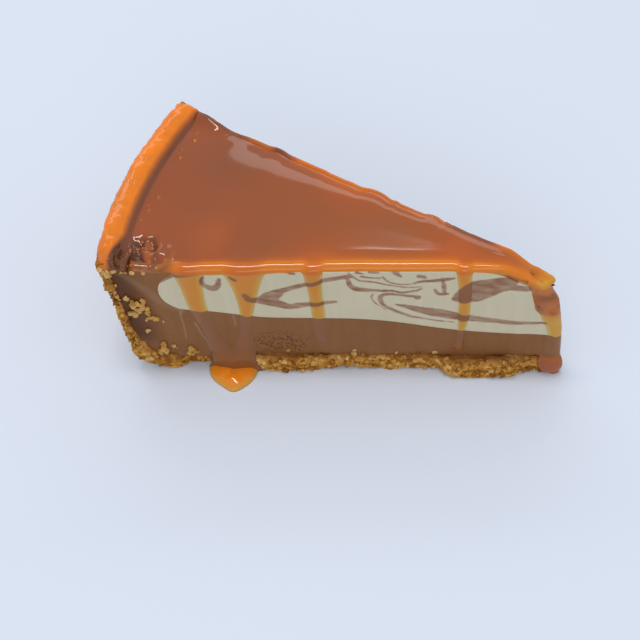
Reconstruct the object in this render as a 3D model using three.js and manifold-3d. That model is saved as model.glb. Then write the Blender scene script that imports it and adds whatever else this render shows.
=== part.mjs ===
// A slice of salted caramel cheesecake: a twelfth of a ten inch cake, standing on its crumb base.
// Millimetres, +Z up. The tip points along +X, the crumb rim is at -X, and the two cut faces look
// towards -Y (near) and +Y (far). The origin is under the middle of the slice, where it rests.
//
// The slice is worked out from its upright section. In it r runs from the tip to the rim, z runs up,
// and v runs across the wedge from -1 on the near cut face to 1 on the far one.

import * as THREE from "three";
import { mergeVertices } from "three/addons/utils/BufferGeometryUtils.js";
import Module from "manifold-3d";

const wasm = await Module();
wasm.setup();

// Driving dimensions.
const TIN_RADIUS = 127; // tip to the outside of the crumb wall at its top, a ten inch tin
const SLICES_IN_CAKE = 12;
const FILLING_TOP = 44.4; // table to the top of the set filling
const POOL_TOP = 46.4; // table to the surface of the poured caramel
const RIM_TOP = 50; // table to the top of the glazed rim
const RIM_COAT = 1.2; // caramel on the rim
const BASE_THICK = 6.2; // crumb base
const WALL_THICK = 4.4; // crumb wall
const WALL_FLARE = 4; // the tin's wall leans out by this much
const CORNER = 9; // radius of the outer corner between base and wall
const FILLET = 7; // radius of the inner corner
const TIP_HALF_WIDTH = 1.3; // the tip is blunt
const TIP_BEYOND = 4.2; // it reaches this far past the line where the two cuts would meet
const TIP_LEAN = 6; // the tip stands back by this much at the top
const TIP_DROOP = 5.6; // the filling and the caramel sink by this much at the tip
const SEAM = { low: 15.6, middle: 24, rim: 28, tipRise: 2.2 }; // table to the line between the fillings
const GAP = 0.3; // clearance between neighbouring solids
const CENTRE_X = 63.6; // base tip to the middle of the slice's box

const HALF_ANGLE = Math.PI / SLICES_IN_CAKE;
const NEAR = -1;
const FAR = 1;

// Colours and finishes of the real food.
const FINISH = {
  crumb: { color: 0xb0722c, roughness: 0.9, metalness: 0 },
  chocolate: { color: 0x875f48, roughness: 0.55, metalness: 0 },
  vanilla: { color: 0xd8d4bf, roughness: 0.5, metalness: 0 },
  caramel: { color: 0xbf5f28, roughness: 0.12, metalness: 0 },
};

const { lerp, smoothstep } = THREE.MathUtils;
const ease = (from, to, x) => smoothstep(x, from, to);

// Repeatable random numbers, 0 to 1.
function randomSource(seed) {
  let state = seed;
  return () => {
    state = (Math.imul(state, 1664525) + 1013904223) >>> 0;
    return state / 2 ** 32;
  };
}

// Smooth noise in space, -1 to 1, with lumps about `size` millimetres apart.
function noise(x, y, z, size, seed) {
  const hash = (i, j, k) => {
    const mixed = Math.imul(i, 374761393) ^ Math.imul(j, 668265263) ^ Math.imul(k + seed, 1274126177);
    const stirred = Math.imul(mixed ^ (mixed >>> 13), 1103515245);
    return ((stirred ^ (stirred >>> 16)) >>> 0) / 2 ** 31 - 1;
  };
  const place = [x / size, y / size, z / size];
  const [i, j, k] = place.map(Math.floor);
  const [u, v, w] = place.map((p) => ease(0, 1, p - Math.floor(p)));
  const row = (b, c) => lerp(hash(i, j + b, k + c), hash(i + 1, j + b, k + c), u);
  return lerp(lerp(row(0, 0), row(1, 0), v), lerp(row(0, 1), row(1, 1), v), w);
}

// Lines that the layers share.
const wallOuter = (z) => TIN_RADIUS - WALL_FLARE * (1 - z / RIM_TOP);
const wallInner = (z) => wallOuter(z) - WALL_THICK;
const fillingTop = (r) => FILLING_TOP - TIP_DROOP * (1 - ease(3, 18, r));
const poolTop = (r) => POOL_TOP - TIP_DROOP * (1 - ease(-2, 14, r));

// The seam, chocolate below and vanilla above: it climbs towards the rim and turns up at the tip.
function seam(r) {
  const climb = (SEAM.middle - SEAM.low) * ease(8, 62, r) + (SEAM.rim - SEAM.middle) * ease(78, 108, r);
  return SEAM.low + climb + SEAM.tipRise * (1 - ease(0, 36, r));
}

// How far the tip stands back from its foot.
const tipLean = (r, z) => TIP_LEAN * Math.max(0, (z - 16) / 28) ** 2 * Math.max(0, 1 - r / 30);

// A point of the wedge. `over` carries it out past its cut face.
function place(r, v, z, over = 0) {
  const angle = v * HALF_ANGLE;
  const rounding = TIP_HALF_WIDTH * (1 - Math.sqrt(Math.max(0, 1 - v * v))) * Math.exp(-Math.max(0, r) / 6);
  const reach = r + tipLean(r, z) + rounding;
  const sharp = ((r - TIP_BEYOND) * Math.sin(HALF_ANGLE)) / 2;
  const halfWidth = sharp + Math.hypot(sharp, TIP_HALF_WIDTH);
  return new THREE.Vector3(
    CENTRE_X - reach * Math.cos(angle),
    reach * Math.sin(angle) + v * (halfWidth - r * Math.sin(HALF_ANGLE) + over),
    z,
  );
}

// A point on a cut face, moved `out` from it.
function onFace(side, r, z, out) {
  const point = place(r, side, z);
  point.x += Math.sin(HALF_ANGLE) * out;
  point.y += side * Math.cos(HALF_ANGLE) * out;
  return point;
}

// A three.js geometry as a solid that can be joined and cut.
function solid(geometry) {
  geometry.deleteAttribute("normal");
  geometry.deleteAttribute("uv");
  const merged = mergeVertices(geometry, 1e-4);
  return new wasm.Manifold(
    new wasm.Mesh({
      numProp: 3,
      vertProperties: new Float32Array(merged.attributes.position.array),
      triVerts: new Uint32Array(merged.index.array),
    }),
  );
}

// A box of small cells whose points are carried by `move(a, b, c)`, with a, b and c from 0 to 1.
function shapedBox(cellsA, cellsB, cellsC, move) {
  const box = new THREE.BoxGeometry(1, 1, 1, cellsA, cellsB, cellsC);
  const position = box.attributes.position;
  for (let i = 0; i < position.count; i++) {
    const p = move(position.getX(i) + 0.5, position.getY(i) + 0.5, position.getZ(i) + 0.5);
    position.setXYZ(i, p.x, p.y, p.z);
  }
  return solid(box);
}

// A layer from the near face to the far one, between two curves of the section.
// Each station is [r under, z under, r over, z over]. `shape` may move a point before it is placed.
function layer({ stations, steps, thick, across, over = 0, shape = null }) {
  const under = new THREE.SplineCurve(stations.map(([r, z]) => new THREE.Vector2(r, z)));
  const upper = new THREE.SplineCurve(stations.map(([, , r, z]) => new THREE.Vector2(r, z)));
  return shapedBox((stations.length - 1) * steps, across, thick, (a, b, c) => {
    const section = under.getPoint(a).lerp(upper.getPoint(a), c);
    const point = { r: section.x, z: section.y, v: 1 - 2 * b, over, along: a, height: c };
    if (shape) shape(point);
    return place(point.r, point.v, point.z, point.over);
  });
}

// The largest closed body of a solid, so that loose scraps are dropped and sealed hollows filled.
function wholePiece(body) {
  return body.decompose().reduce((best, piece) => (piece.volume() > best.volume() ? piece : best));
}

// The corner between base and wall, from the base (turn 0) to the wall (turn 1).
function outerCorner(turn, grow = 0) {
  const angle = (turn * Math.PI) / 2;
  const radius = CORNER + grow;
  return [wallOuter(CORNER) - CORNER + radius * Math.sin(angle), CORNER - radius * Math.cos(angle)];
}

function innerCorner(turn, grow = 0) {
  const angle = (turn * Math.PI) / 2;
  const height = BASE_THICK + FILLET;
  const radius = FILLET + grow;
  return [wallInner(height) - FILLET + radius * Math.sin(angle), height - radius * Math.cos(angle)];
}

// Stations every 10 mm or so along the layers' length.
const REACHES = [8, 16, 26, 36, 48, 60, 72, 84, 94, 104];

// The top of the crumb base is uneven, and the filling has set on it.
function unevenBase(point) {
  const nearness = Math.max(0, 1 - Math.abs(point.z - BASE_THICK) / 2);
  point.z += nearness * 0.7 * noise(point.r, 20 * point.v, 0, 8, 31);
}

// All of the filling between crumb and caramel.
function makeFillingBlock(grow, past) {
  const floor = BASE_THICK + GAP - grow;
  const top = (r) => fillingTop(r) + grow;
  const wall = (z) => wallInner(z) - GAP + grow;
  const corner = (turn) => innerCorner(turn, grow - GAP);
  const stations = [
    [-grow, floor, -grow, top(0)],
    ...REACHES.map((r) => [r, floor, r, top(r)]),
    [...corner(0), corner(0)[0], top(104)],
    [...corner(0.35), lerp(corner(0)[0], wall(FILLING_TOP), 0.55), top(110)],
    [...corner(0.7), lerp(corner(0)[0], wall(FILLING_TOP), 0.85), top(116)],
    [...corner(1), wall(FILLING_TOP), top(120)],
  ];
  return layer({ stations, steps: 2, thick: 1, across: 4, over: past, shape: unevenBase });
}

// The vanilla layer's round outer end, from its underside (turn 0) to its top (turn 1).
const VANILLA_END = { r: 104, z: 35.8, long: 7.6, tall: 8 };

function vanillaEnd(turn, grow) {
  const angle = Math.PI * (turn - 0.5);
  return [
    VANILLA_END.r + (VANILLA_END.long + grow) * Math.cos(angle),
    VANILLA_END.z + (VANILLA_END.tall + grow) * Math.sin(angle),
  ];
}

// The seam between the fillings wanders as it crosses the slice.
function driftingSeam(point) {
  const inside = Math.sin((Math.PI * (point.z - BASE_THICK)) / (fillingTop(point.r) - BASE_THICK));
  point.z += Math.max(0, inside) * (1 + point.v) * 0.9 * Math.sin(point.r / 14 + 0.6);
}

// The room that the vanilla layer takes out of the filling, past its faces on every side but the seam.
function makeVanillaRoom(grow) {
  const past = 2;
  const top = (r) => fillingTop(r) + past;
  const stations = [
    [-past, seam(0) - grow, -past, top(0)],
    ...REACHES.slice(0, -1).map((r) => [r, seam(r) - grow, r, top(r)]),
    [...vanillaEnd(0.1, grow), 102, FILLING_TOP + past],
    [...vanillaEnd(0.25, grow), ...vanillaEnd(0.86, grow)],
    [...vanillaEnd(0.4, grow), ...vanillaEnd(0.66, grow)],
  ];
  return layer({ stations, steps: 2, thick: 2, across: 4, over: past, shape: driftingSeam });
}

// One crumb: a turned, uneven icosahedron.
function crumb(at, size, random) {
  const lump = new THREE.IcosahedronGeometry(size, 0);
  lump.scale(0.8 + 0.5 * random(), 0.7 + 0.4 * random(), 0.7 + 0.5 * random());
  lump.rotateX(random() * Math.PI);
  lump.rotateZ(random() * Math.PI);
  lump.translate(at.x, at.y, Math.max(at.z, 1.3 * size));
  return solid(lump);
}

// Crumbs that the knife dragged up the cut faces: where, how far they spread, how many, how large.
const DRAGGED_CRUMBS = [
  { side: NEAR, r: 117.6, z: 28.6, spread: 3.4, count: 8, size: 1.5 },
  { side: NEAR, r: 113.4, z: 10.6, spread: 3.4, count: 5, size: 1.3 },
  { side: NEAR, r: 106.0, z: 9.4, spread: 1.8, count: 3, size: 1.4 },
  { side: FAR, r: 112.0, z: 17.0, spread: 4.5, count: 6, size: 1.3 },
];

function draggedCrumbs() {
  const random = randomSource(41);
  const crumbs = DRAGGED_CRUMBS.flatMap((cluster) =>
    Array.from({ length: cluster.count }, () => {
      const angle = random() * 2 * Math.PI;
      const away = cluster.spread * Math.sqrt(random());
      const size = cluster.size * (0.6 + 0.6 * random());
      const r = cluster.r + away * Math.cos(angle);
      const z = cluster.z + away * Math.sin(angle);
      return crumb(onFace(cluster.side, r, z, 0.15 * size), size, random);
    }),
  );
  return wasm.Manifold.union(crumbs);
}

// How far the near cut of the crumb base stands out: a lump near the tip, a torn place by the rim.
function brokenEdge(r) {
  const lump = 3.0 * ease(8, 14, r) * (1 - ease(30, 36, r));
  const rough = 1.4 * ease(66, 76, r) * (1 - ease(84, 90, r));
  const torn = -2.2 * ease(97, 102, r) * (1 - ease(108, 112, r));
  return lump + rough + torn;
}

// The crumb crust: a base that turns up into a wall, as a smooth block.
function crustStations(grow, foot) {
  const top = RIM_TOP - RIM_COAT - 0.9 + grow;
  return [
    [-grow, foot, -grow, BASE_THICK + grow],
    ...REACHES.map((r) => [r, foot, r, BASE_THICK + grow]),
    [outerCorner(0)[0], foot, ...innerCorner(0, -grow)],
    ...[0.3, 0.65, 1].map((turn) => [...outerCorner(turn, grow), ...innerCorner(turn, -grow)]),
    ...[18, 26, 34, 42].map((z) => [wallOuter(z) + grow, z, wallInner(z) - grow, z]),
    [wallOuter(top) + grow, top, wallInner(top) - grow, top],
  ];
}

// The wall's top edge is rounded over.
function roundTop(point) {
  point.z += 0.9 * ease(0.96, 1, point.along) * (1 - (2 * point.height - 1) ** 2);
}

// Crags in the bare crumb: on the wall's outside and on the two cuts, and a ragged foot.
function crags(point) {
  const [x, y] = [point.r, 40 * point.v];
  const bare = 1 - ease(RIM_TOP - 8, RIM_TOP - 4, point.z);
  const outside = bare * (1 - point.height) * ease(0.5, 0.6, point.along);
  const cut = bare * ease(0.8, 1, Math.abs(point.v));
  point.r += outside * (0.9 * noise(x, y, point.z, 4.3, 3) + 0.5 * noise(x, y, point.z, 2.2, 5));
  point.over += cut * (0.7 * noise(x, y, point.z, 3.6, 7) + 0.5 * noise(x, y, point.z, 1.9, 9) - 0.1);
  if (point.v < 0) point.over += cut * brokenEdge(point.r) * (1 - ease(7, 12, point.z));
  point.z += cut * (1 - ease(0, 3, point.z)) * Math.max(0, 1.2 * noise(x, y, 0, 4.5, 11));
}

function makeCrustBlock(grow) {
  const stations = crustStations(grow, -2);
  return layer({ stations, steps: 2, thick: 2, across: 4, over: grow, shape: roundTop });
}

// Loose crumb that still clings: along the foot of both cuts, and on the wall's outside.
function clingingCrumbs() {
  const random = randomSource(77);
  const bits = [];
  for (const side of [NEAR, FAR]) {
    for (let r = 4; r < 118; r += 2.6 + 2.2 * random()) {
      const out = side === NEAR ? brokenEdge(r) : 0;
      bits.push(crumb(onFace(side, r, 0.8 + 4.2 * random(), out - 0.2), 0.8 + 0.9 * random(), random));
    }
  }
  for (let i = 0; i < 26; i++) {
    const z = 3 + 38 * random();
    bits.push(crumb(place(wallOuter(z), 1.9 * random() - 0.95, z), 0.9 + 0.8 * random(), random));
  }
  return wasm.Manifold.union(bits);
}

function makeCrust(caramelRoom) {
  const shape = (point) => {
    point.z = Math.max(0, point.z);
    roundTop(point);
    crags(point);
  };
  const body = layer({ stations: crustStations(0, 0), steps: 2, thick: 4, across: 10, shape });
  const fillingRoom = makeFillingBlock(GAP, 4);
  return wholePiece(body.add(clingingCrumbs()).subtract(fillingRoom).subtract(caramelRoom));
}

function makeVanilla() {
  return wholePiece(makeFillingBlock(0, 0).intersect(makeVanillaRoom(0)));
}

function makeChocolate(crustRoom, caramelRoom) {
  const layers = makeFillingBlock(0, 0).subtract(makeVanillaRoom(GAP));
  const crumbs = draggedCrumbs().subtract(crustRoom);
  return wholePiece(layers.add(crumbs).subtract(caramelRoom));
}

// A run of caramel down a cut face. Stops are [r, z, half width, thickness] from its top to its foot.
function makeRun({ side, stops }, grow) {
  const line = new THREE.CatmullRomCurve3(stops.map(([r, z, half]) => new THREE.Vector3(r, z, half)));
  const depth = new THREE.SplineCurve(stops.map(([, , , thick], i) => new THREE.Vector2(i, thick)));
  return shapedBox(10, 4, 1, (down, sideways, front) => {
    const { x: r, y: z, z: half } = line.getPoint(down);
    const across = 2 * sideways - 1;
    const bulge = (depth.getPoint(down).y + grow) * Math.sqrt(1 - 0.9 * across * across);
    return onFace(side, r + side * across * (half + grow), Math.max(z, 0), front > 0.5 ? bulge : -0.6);
  });
}

const RUNS = [
  {
    side: NEAR,
    stops: [
      [102.4, 45.4, 5, 1.7],
      [102.1, 38, 3.8, 1.3],
      [101.4, 27, 3, 1.1],
      [98.2, 12, 3, 1.1],
      [95.2, 1, 5, 1.8],
    ],
  },
  {
    side: NEAR,
    stops: [
      [86.7, 45.4, 7.4, 1.7],
      [87, 38, 4.8, 1.3],
      [87.8, 27, 2.6, 1.1],
      [90, 12, 2.6, 1.1],
      [92.6, 1, 5, 1.8],
    ],
  },
  {
    side: NEAR,
    stops: [
      [67.9, 45.4, 3.4, 1.5],
      [67.9, 36, 2.4, 1.2],
      [67.8, 24, 2.3, 1.1],
      [67.8, 12, 2, 1],
    ],
  },
  {
    side: NEAR,
    stops: [
      [26, 45, 3.6, 1.5],
      [26.3, 36, 2.4, 1.2],
      [27.2, 24, 2, 1.1],
      [28.2, 14, 1.3, 1],
      [28.6, 9.4, 1.7, 1.5],
    ],
  },
  {
    side: FAR,
    stops: [
      [40, 45.4, 3.4, 1.5],
      [40.6, 32, 2, 1.2],
      [41, 19, 1.7, 1.5],
    ],
  },
  {
    side: FAR,
    stops: [
      [58.6, 45.4, 5, 1.6],
      [57.6, 34, 2.4, 1.2],
      [57.2, 20, 1.9, 1.1],
      [57.6, 9, 2, 1.5],
    ],
  },
  {
    side: FAR,
    stops: [
      [92, 45.4, 4, 1.5],
      [92.3, 36, 2.3, 1.2],
      [92, 29, 1.9, 1.4],
    ],
  },
];

// A drop that has settled on the table: a ball, stretched and cut flat below. It narrows by the
// share `taper` away from the near cut face.
function makeDrop({ centre, radii, taper = 0 }, grow) {
  const ball = new THREE.SphereGeometry(1, 14, 8);
  ball.rotateX(Math.PI / 2);
  const position = ball.attributes.position;
  for (let i = 0; i < position.count; i++) {
    position.setX(i, position.getX(i) * (1 + taper * position.getY(i)));
  }
  ball.scale(...radii.map((radius) => radius + grow));
  ball.rotateZ(HALF_ANGLE);
  ball.translate(centre.x, centre.y, centre.z);
  for (let i = 0; i < position.count; i++) position.setZ(i, Math.max(0, position.getZ(i)));
  return solid(ball);
}

const PUDDLE = { centre: onFace(NEAR, 94.6, 0, 1), radii: [7.6, 8.6, 2.7], taper: 0.25 };
const TIP_BEAD = { centre: onFace(NEAR, 3.4, 4.4, -0.6), radii: [4, 2.6, 5.8] };

// The caramel that runs down and round the tip, with a curled lip at its top.
function makeTipRun(grow) {
  return shapedBox(12, 6, 3, (up, across, back) => {
    const z = lerp(2.5, 42, up);
    const lump = ease(28, 34, z);
    const start = -0.4 - 0.5 * lump - grow;
    const end = lerp(4.4, 7.5, ease(18, 34, z)) + grow;
    return place(lerp(start, end, back), 2 * across - 1, z, 0.8 + 0.4 * lump + grow);
  });
}

// All the caramel that hangs on the cut faces or lies on the table.
function makeRuns(grow = 0) {
  return wasm.Manifold.union([
    makeTipRun(grow),
    ...RUNS.map((run) => makeRun(run, grow)),
    makeDrop(PUDDLE, grow),
    makeDrop(TIP_BEAD, grow),
  ]);
}

// The rim's caramel: half a turn over the crumb wall, from the inside (turn 0) to the outside.
const RIM = { r: 124.2, z: 47.2, half: 3.3, rise: RIM_TOP - 47.2 };

function rimStation(turn) {
  const angle = Math.PI * turn;
  return [
    RIM.r - 1.5 * Math.cos(angle),
    45,
    RIM.r - RIM.half * Math.cos(angle),
    RIM.z + RIM.rise * Math.sin(angle),
  ];
}

// The poured caramel: a pool inside the rim that laps over it, its edges rounded over the cuts.
function makePool() {
  const reaches = [3, 6, 9, 12, 16, 21, 28, ...REACHES.slice(3), 112, 117];
  const stations = [
    [-2.6, 39.6, -2.7, 40.9],
    [-1.4, 38.6, -1.6, 41.6],
    [0.4, 37.8, 0.2, 42],
    ...reaches.map((r) => [r, fillingTop(r) - 1, r, poolTop(r)]),
    [121, FILLING_TOP - 1, 119.6, POOL_TOP - 0.7],
    ...[0, 0.14, 0.29, 0.43, 0.57, 0.71, 0.86, 1].map(rimStation),
  ];
  const shape = (point) => {
    const edge = ease(0.84, 1, Math.abs(point.v));
    const onRim = ease(118, 121, point.r);
    const waves = (0.3 * noise(point.r, 0, 0, 9, 21) + 0.2 * noise(point.r, 0, 0, 4, 23)) * (1 - onRim);
    point.over -= 1.5 * (1 - ease(-3, 5, point.r)); // the lip runs out to a point
    if (point.height === 1) {
      point.z -= (1.3 - 1.1 * onRim) * edge;
      point.over -= 0.6 * edge;
      point.z += 0.2 * noise(point.r, 18 * point.v, 0, 15, 27);
    } else {
      point.z += point.height === 0 ? edge * waves : 0;
      point.over += edge * waves;
    }
  };
  return layer({ stations, steps: 1, thick: 2, across: 10, over: 1.1, shape });
}

function makeCaramel(crustRoom) {
  const food = crustRoom.add(makeFillingBlock(GAP, GAP)).add(draggedCrumbs());
  return wholePiece(makePool().add(makeRuns()).subtract(food));
}

// A solid as a named three.js mesh.
function mesh(name, body, finish) {
  const { numProp, vertProperties, triVerts, numVert } = body.getMesh();
  const positions = new Float32Array(numVert * 3);
  for (let i = 0; i < numVert; i++) {
    positions.set(vertProperties.subarray(i * numProp, i * numProp + 3), i * 3);
  }
  const geometry = new THREE.BufferGeometry();
  geometry.setAttribute("position", new THREE.BufferAttribute(positions, 3));
  geometry.setIndex(new THREE.BufferAttribute(triVerts, 1));
  geometry.computeVertexNormals();
  const made = new THREE.Mesh(geometry, new THREE.MeshStandardMaterial(finish));
  made.name = name;
  return made;
}

const crustRoom = makeCrustBlock(GAP);
const caramelRoom = makeRuns(GAP).subtract(makeCrustBlock(0.05)).subtract(makeFillingBlock(0, 0.05));

const slice = new THREE.Group();
slice.add(mesh("crumb_crust", makeCrust(caramelRoom), FINISH.crumb));
slice.add(mesh("chocolate_layer", makeChocolate(crustRoom, caramelRoom), FINISH.chocolate));
slice.add(mesh("vanilla_layer", makeVanilla(), FINISH.vanilla));
slice.add(mesh("caramel", makeCaramel(crustRoom), FINISH.caramel));

export default slice;
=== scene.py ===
"""The finish of a salted caramel cheesecake slice, made around its fixed frame.

Pieces are worked out in millimetres in the slice's own section: r runs from the tip to the
rim, z up, and v across the wedge from -1 on the near cut face to 1 on the far one. Wedge.place
carries that section into space, and a piece's points go into its mesh in metres.
"""

import sys

import itertools
import logging
import math
from dataclasses import dataclass, field
from enum import Enum

import bpy
import numpy as np
from mathutils import Matrix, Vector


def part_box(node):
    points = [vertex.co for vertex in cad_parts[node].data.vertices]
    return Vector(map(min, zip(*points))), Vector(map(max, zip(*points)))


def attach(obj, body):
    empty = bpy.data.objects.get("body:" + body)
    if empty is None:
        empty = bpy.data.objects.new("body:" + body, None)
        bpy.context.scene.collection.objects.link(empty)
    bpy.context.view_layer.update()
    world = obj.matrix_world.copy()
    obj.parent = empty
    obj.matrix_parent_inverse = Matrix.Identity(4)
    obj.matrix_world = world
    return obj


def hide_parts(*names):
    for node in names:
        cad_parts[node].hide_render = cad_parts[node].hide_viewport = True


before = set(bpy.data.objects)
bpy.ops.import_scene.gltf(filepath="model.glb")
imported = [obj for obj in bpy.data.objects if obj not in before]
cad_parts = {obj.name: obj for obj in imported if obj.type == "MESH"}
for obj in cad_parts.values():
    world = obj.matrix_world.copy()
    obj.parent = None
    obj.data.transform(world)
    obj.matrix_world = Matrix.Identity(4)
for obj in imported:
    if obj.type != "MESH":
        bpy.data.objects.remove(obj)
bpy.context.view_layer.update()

MM = 0.001
BODY = "root"
LOG = logging.getLogger("cheesecake")


class Side(Enum):
    """The two cut faces, by the sign of v on them."""

    NEAR = -1
    FAR = 1


class Part(Enum):
    """The slice's four solids, each by its CAD node and its material slot."""

    CRUST = ("crumb_crust", "crumb")
    CHOCOLATE = ("chocolate_layer", "chocolate")
    VANILLA = ("vanilla_layer", "vanilla")
    CARAMEL = ("caramel", "caramel")


class LightShape(Enum):
    """The outline of a softbox."""

    OBLONG = "RECTANGLE"
    OVAL = "ELLIPSE"


def ease(low: float, high: float, x: np.ndarray) -> np.ndarray:
    """Smooth step: 0 below `low`, 1 above `high`, and 3t^2 - 2t^3 between them."""
    t = np.clip((np.asarray(x, float) - low) / (high - low), 0, 1)
    return t * t * (3 - 2 * t)


def hashed(cell: np.ndarray, seed: int) -> np.ndarray:
    """A repeatable random number from 0 to 1 for each whole-numbered cell.

    Args:
        cell: Whole numbers, the last axis holding i, j, k.
        seed: Which set of numbers.

    Returns:
        One number for each cell, its coordinates mixed by multiplying and shifting.
    """
    mask = 0xFFFFFFFF
    i, j, k = (cell[..., axis].astype(np.int64) for axis in range(3))
    mixed = (i * 374761393 + j * 668265263 + k * 1274126177 + seed * 362437) & mask
    mixed = ((mixed ^ (mixed >> 13)) * 1103515245) & mask
    mixed = ((mixed ^ (mixed >> 15)) * 1274126177) & mask
    return ((mixed ^ (mixed >> 16)) & 0xFFFFFF) / 0xFFFFFF


def noise(points: np.ndarray, size: float, seed: int) -> np.ndarray:
    """Smooth noise in space, -1 to 1.

    Args:
        points: Places, the last axis holding x, y, z.
        size: Distance between lumps, in the points' units.
        seed: Which noise.

    Returns:
        The eight corners' random numbers round each place, blended by smooth steps.
    """
    scaled = np.asarray(points, float) / size
    corner = np.floor(scaled)
    part = ease(0, 1, scaled - corner)
    total = np.zeros(scaled.shape[:-1])
    for offset in itertools.product((0, 1), repeat=3):
        share = np.prod(np.where(np.array(offset) == 1, part, 1 - part), axis=-1)
        total += share * hashed(corner + offset, seed)
    return 2 * total - 1


def grains(points: np.ndarray, size: float, seed: int) -> tuple[np.ndarray, np.ndarray]:
    """Packed lumps, one in each cell of a lattice, each of its own size.

    Args:
        points: Places, the last axis holding x, y, z.
        size: Distance between lumps.
        seed: Which packing.

    Returns:
        The height of the nearest lump's dome, sqrt(1 - d^2) for a distance d from its
        middle, and that lump's random number.
    """
    scaled = points / size
    cell = np.floor(scaled)
    nearest = np.full(scaled.shape[:-1], 9.0)
    tone = np.zeros(scaled.shape[:-1])
    for offset in itertools.product((-1, 0, 1), repeat=3):
        near_cell = cell + offset
        middle = near_cell + np.stack([hashed(near_cell, seed + n) for n in range(3)], -1)
        reach = 0.55 + 0.5 * hashed(near_cell, seed + 3)
        distance = np.linalg.norm(scaled - middle, axis=-1) / reach
        closer = distance < nearest
        nearest = np.where(closer, distance, nearest)
        tone = np.where(closer, hashed(near_cell, seed + 4), tone)
    return np.sqrt(np.clip(1 - nearest**2, 0, 1)), tone


def smooth_line(stops: tuple, steps: int = 8) -> np.ndarray:
    """A smooth line through stops (Catmull-Rom).

    Args:
        stops: Points of any dimension.
        steps: Points on each stretch.

    Returns:
        The line's points: on each stretch a cubic of its two ends and their neighbours.
    """
    given = np.asarray(stops, float)
    padded = np.vstack([2 * given[0] - given[1], given, 2 * given[-1] - given[-2]])
    a, b, c, d = padded[:-3], padded[1:-2], padded[2:-1], padded[3:]
    t = np.linspace(0, 1, steps, endpoint=False)[:, None, None]
    line = 0.5 * (2 * b + (c - a) * t + (2 * a - 5 * b + 4 * c - d) * t**2)
    line = line + 0.5 * (3 * b - a - 3 * c + d) * t**3
    return np.vstack([line.transpose(1, 0, 2).reshape(-1, given.shape[1]), given[-1:]])


def evenly(line: np.ndarray, count: int) -> np.ndarray:
    """Points spaced evenly along a line.

    Args:
        line: The line's points, with any number of columns.
        count: How many points to give.

    Returns:
        Every column read off at equal steps of the length run over the first two columns.
    """
    along = np.r_[0, np.cumsum(np.linalg.norm(np.diff(line[:, :2], axis=0), axis=1))]
    places = np.linspace(0, along[-1], count)
    return np.stack([np.interp(places, along, column) for column in line.T], -1)


@dataclass
class Skin:
    """A surface as arrays: points in millimetres, triangles, and named values at the points."""

    points: np.ndarray
    faces: np.ndarray
    values: dict[str, np.ndarray] = field(default_factory=dict)

    def turn_outwards(self) -> None:
        """Turns the triangles round where the volume that they hold is below nothing."""
        a, b, c = (self.points[self.faces[:, n]] for n in range(3))
        if np.einsum("ij,ij->", a, np.cross(b, c)) < 0:
            self.faces = self.faces[:, ::-1]

    def compact(self) -> "Skin":
        """Leaves out what no triangle uses.

        Returns:
            The same skin with only the points that its triangles meet at, and their values.
        """
        used, faces = np.unique(self.faces, return_inverse=True)
        values = {key: value[used] for key, value in self.values.items()}
        return Skin(self.points[used], faces.reshape(-1, 3), values)


def triangles(quads: np.ndarray) -> np.ndarray:
    """Two triangles for each quad, without those that have no area.

    Args:
        quads: Four point numbers a row, in order round the quad.

    Returns:
        Three point numbers a row.
    """
    halves = np.vstack([quads[:, [0, 1, 2]], quads[:, [0, 2, 3]]])
    a, b, c = halves.T
    return halves[(a != b) & (b != c) & (a != c)]


def grid_quads(ids: np.ndarray) -> np.ndarray:
    """The quads between a grid's neighbouring points, facing rows cross columns."""
    return np.stack([ids[:-1, :-1], ids[1:, :-1], ids[1:, 1:], ids[:-1, 1:]], -1).reshape(-1, 4)


def ring_quads(ids: np.ndarray) -> np.ndarray:
    """The quads of a grid whose last column meets its first."""
    return grid_quads(np.hstack([ids, ids[:, :1]]))


def box_skin(a: np.ndarray, b: np.ndarray, c: np.ndarray) -> tuple[np.ndarray, np.ndarray]:
    """The skin of a box of cells, to be carried into a shape.

    Args:
        a, b, c: The cells' places along the box's three directions.

    Returns:
        The skin points' three parameters, and the triangles between them.
    """
    shape = (len(a), len(b), len(c))
    on_skin = np.zeros(shape, bool)
    on_skin[[0, -1]] = on_skin[:, [0, -1]] = on_skin[:, :, [0, -1]] = True
    ids = np.full(shape, -1)
    ids[on_skin] = np.arange(on_skin.sum())
    i, j, k = np.nonzero(on_skin)
    ends = [ids[-1], ids[0].T, ids[:, 0], ids[:, -1].T, ids[:, :, -1], ids[:, :, 0].T]
    quads = np.vstack([grid_quads(end) for end in ends])
    return np.stack([a[i], b[j], c[k]], -1), triangles(quads)


def band_skin(stations: np.ndarray, v: np.ndarray, share: np.ndarray) -> tuple:
    """The skin of a band between two outlines, carried across the wedge.

    Args:
        stations: r and z of one outline, then of the other, a row for each place along.
        v: Places across the wedge.
        share: Places from the first outline to the second.

    Returns:
        The skin points' three parameters, their r, their z, and the triangles.
    """
    skin, faces = box_skin(np.linspace(0, 1, len(stations)), v, share)
    row = stations[np.rint(skin[:, 0] * (len(stations) - 1)).astype(int)]
    r, z = (row[:, :2] * (1 - skin[:, 2:]) + row[:, 2:] * skin[:, 2:]).T
    return skin, r, z, faces


def crowded(count: int, power: float = 0.6) -> np.ndarray:
    """Places from -1 to 1 that crowd towards both ends."""
    even = np.linspace(-1, 1, count)
    return np.sign(even) * np.abs(np.sin(even * math.pi / 2)) ** power


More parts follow.
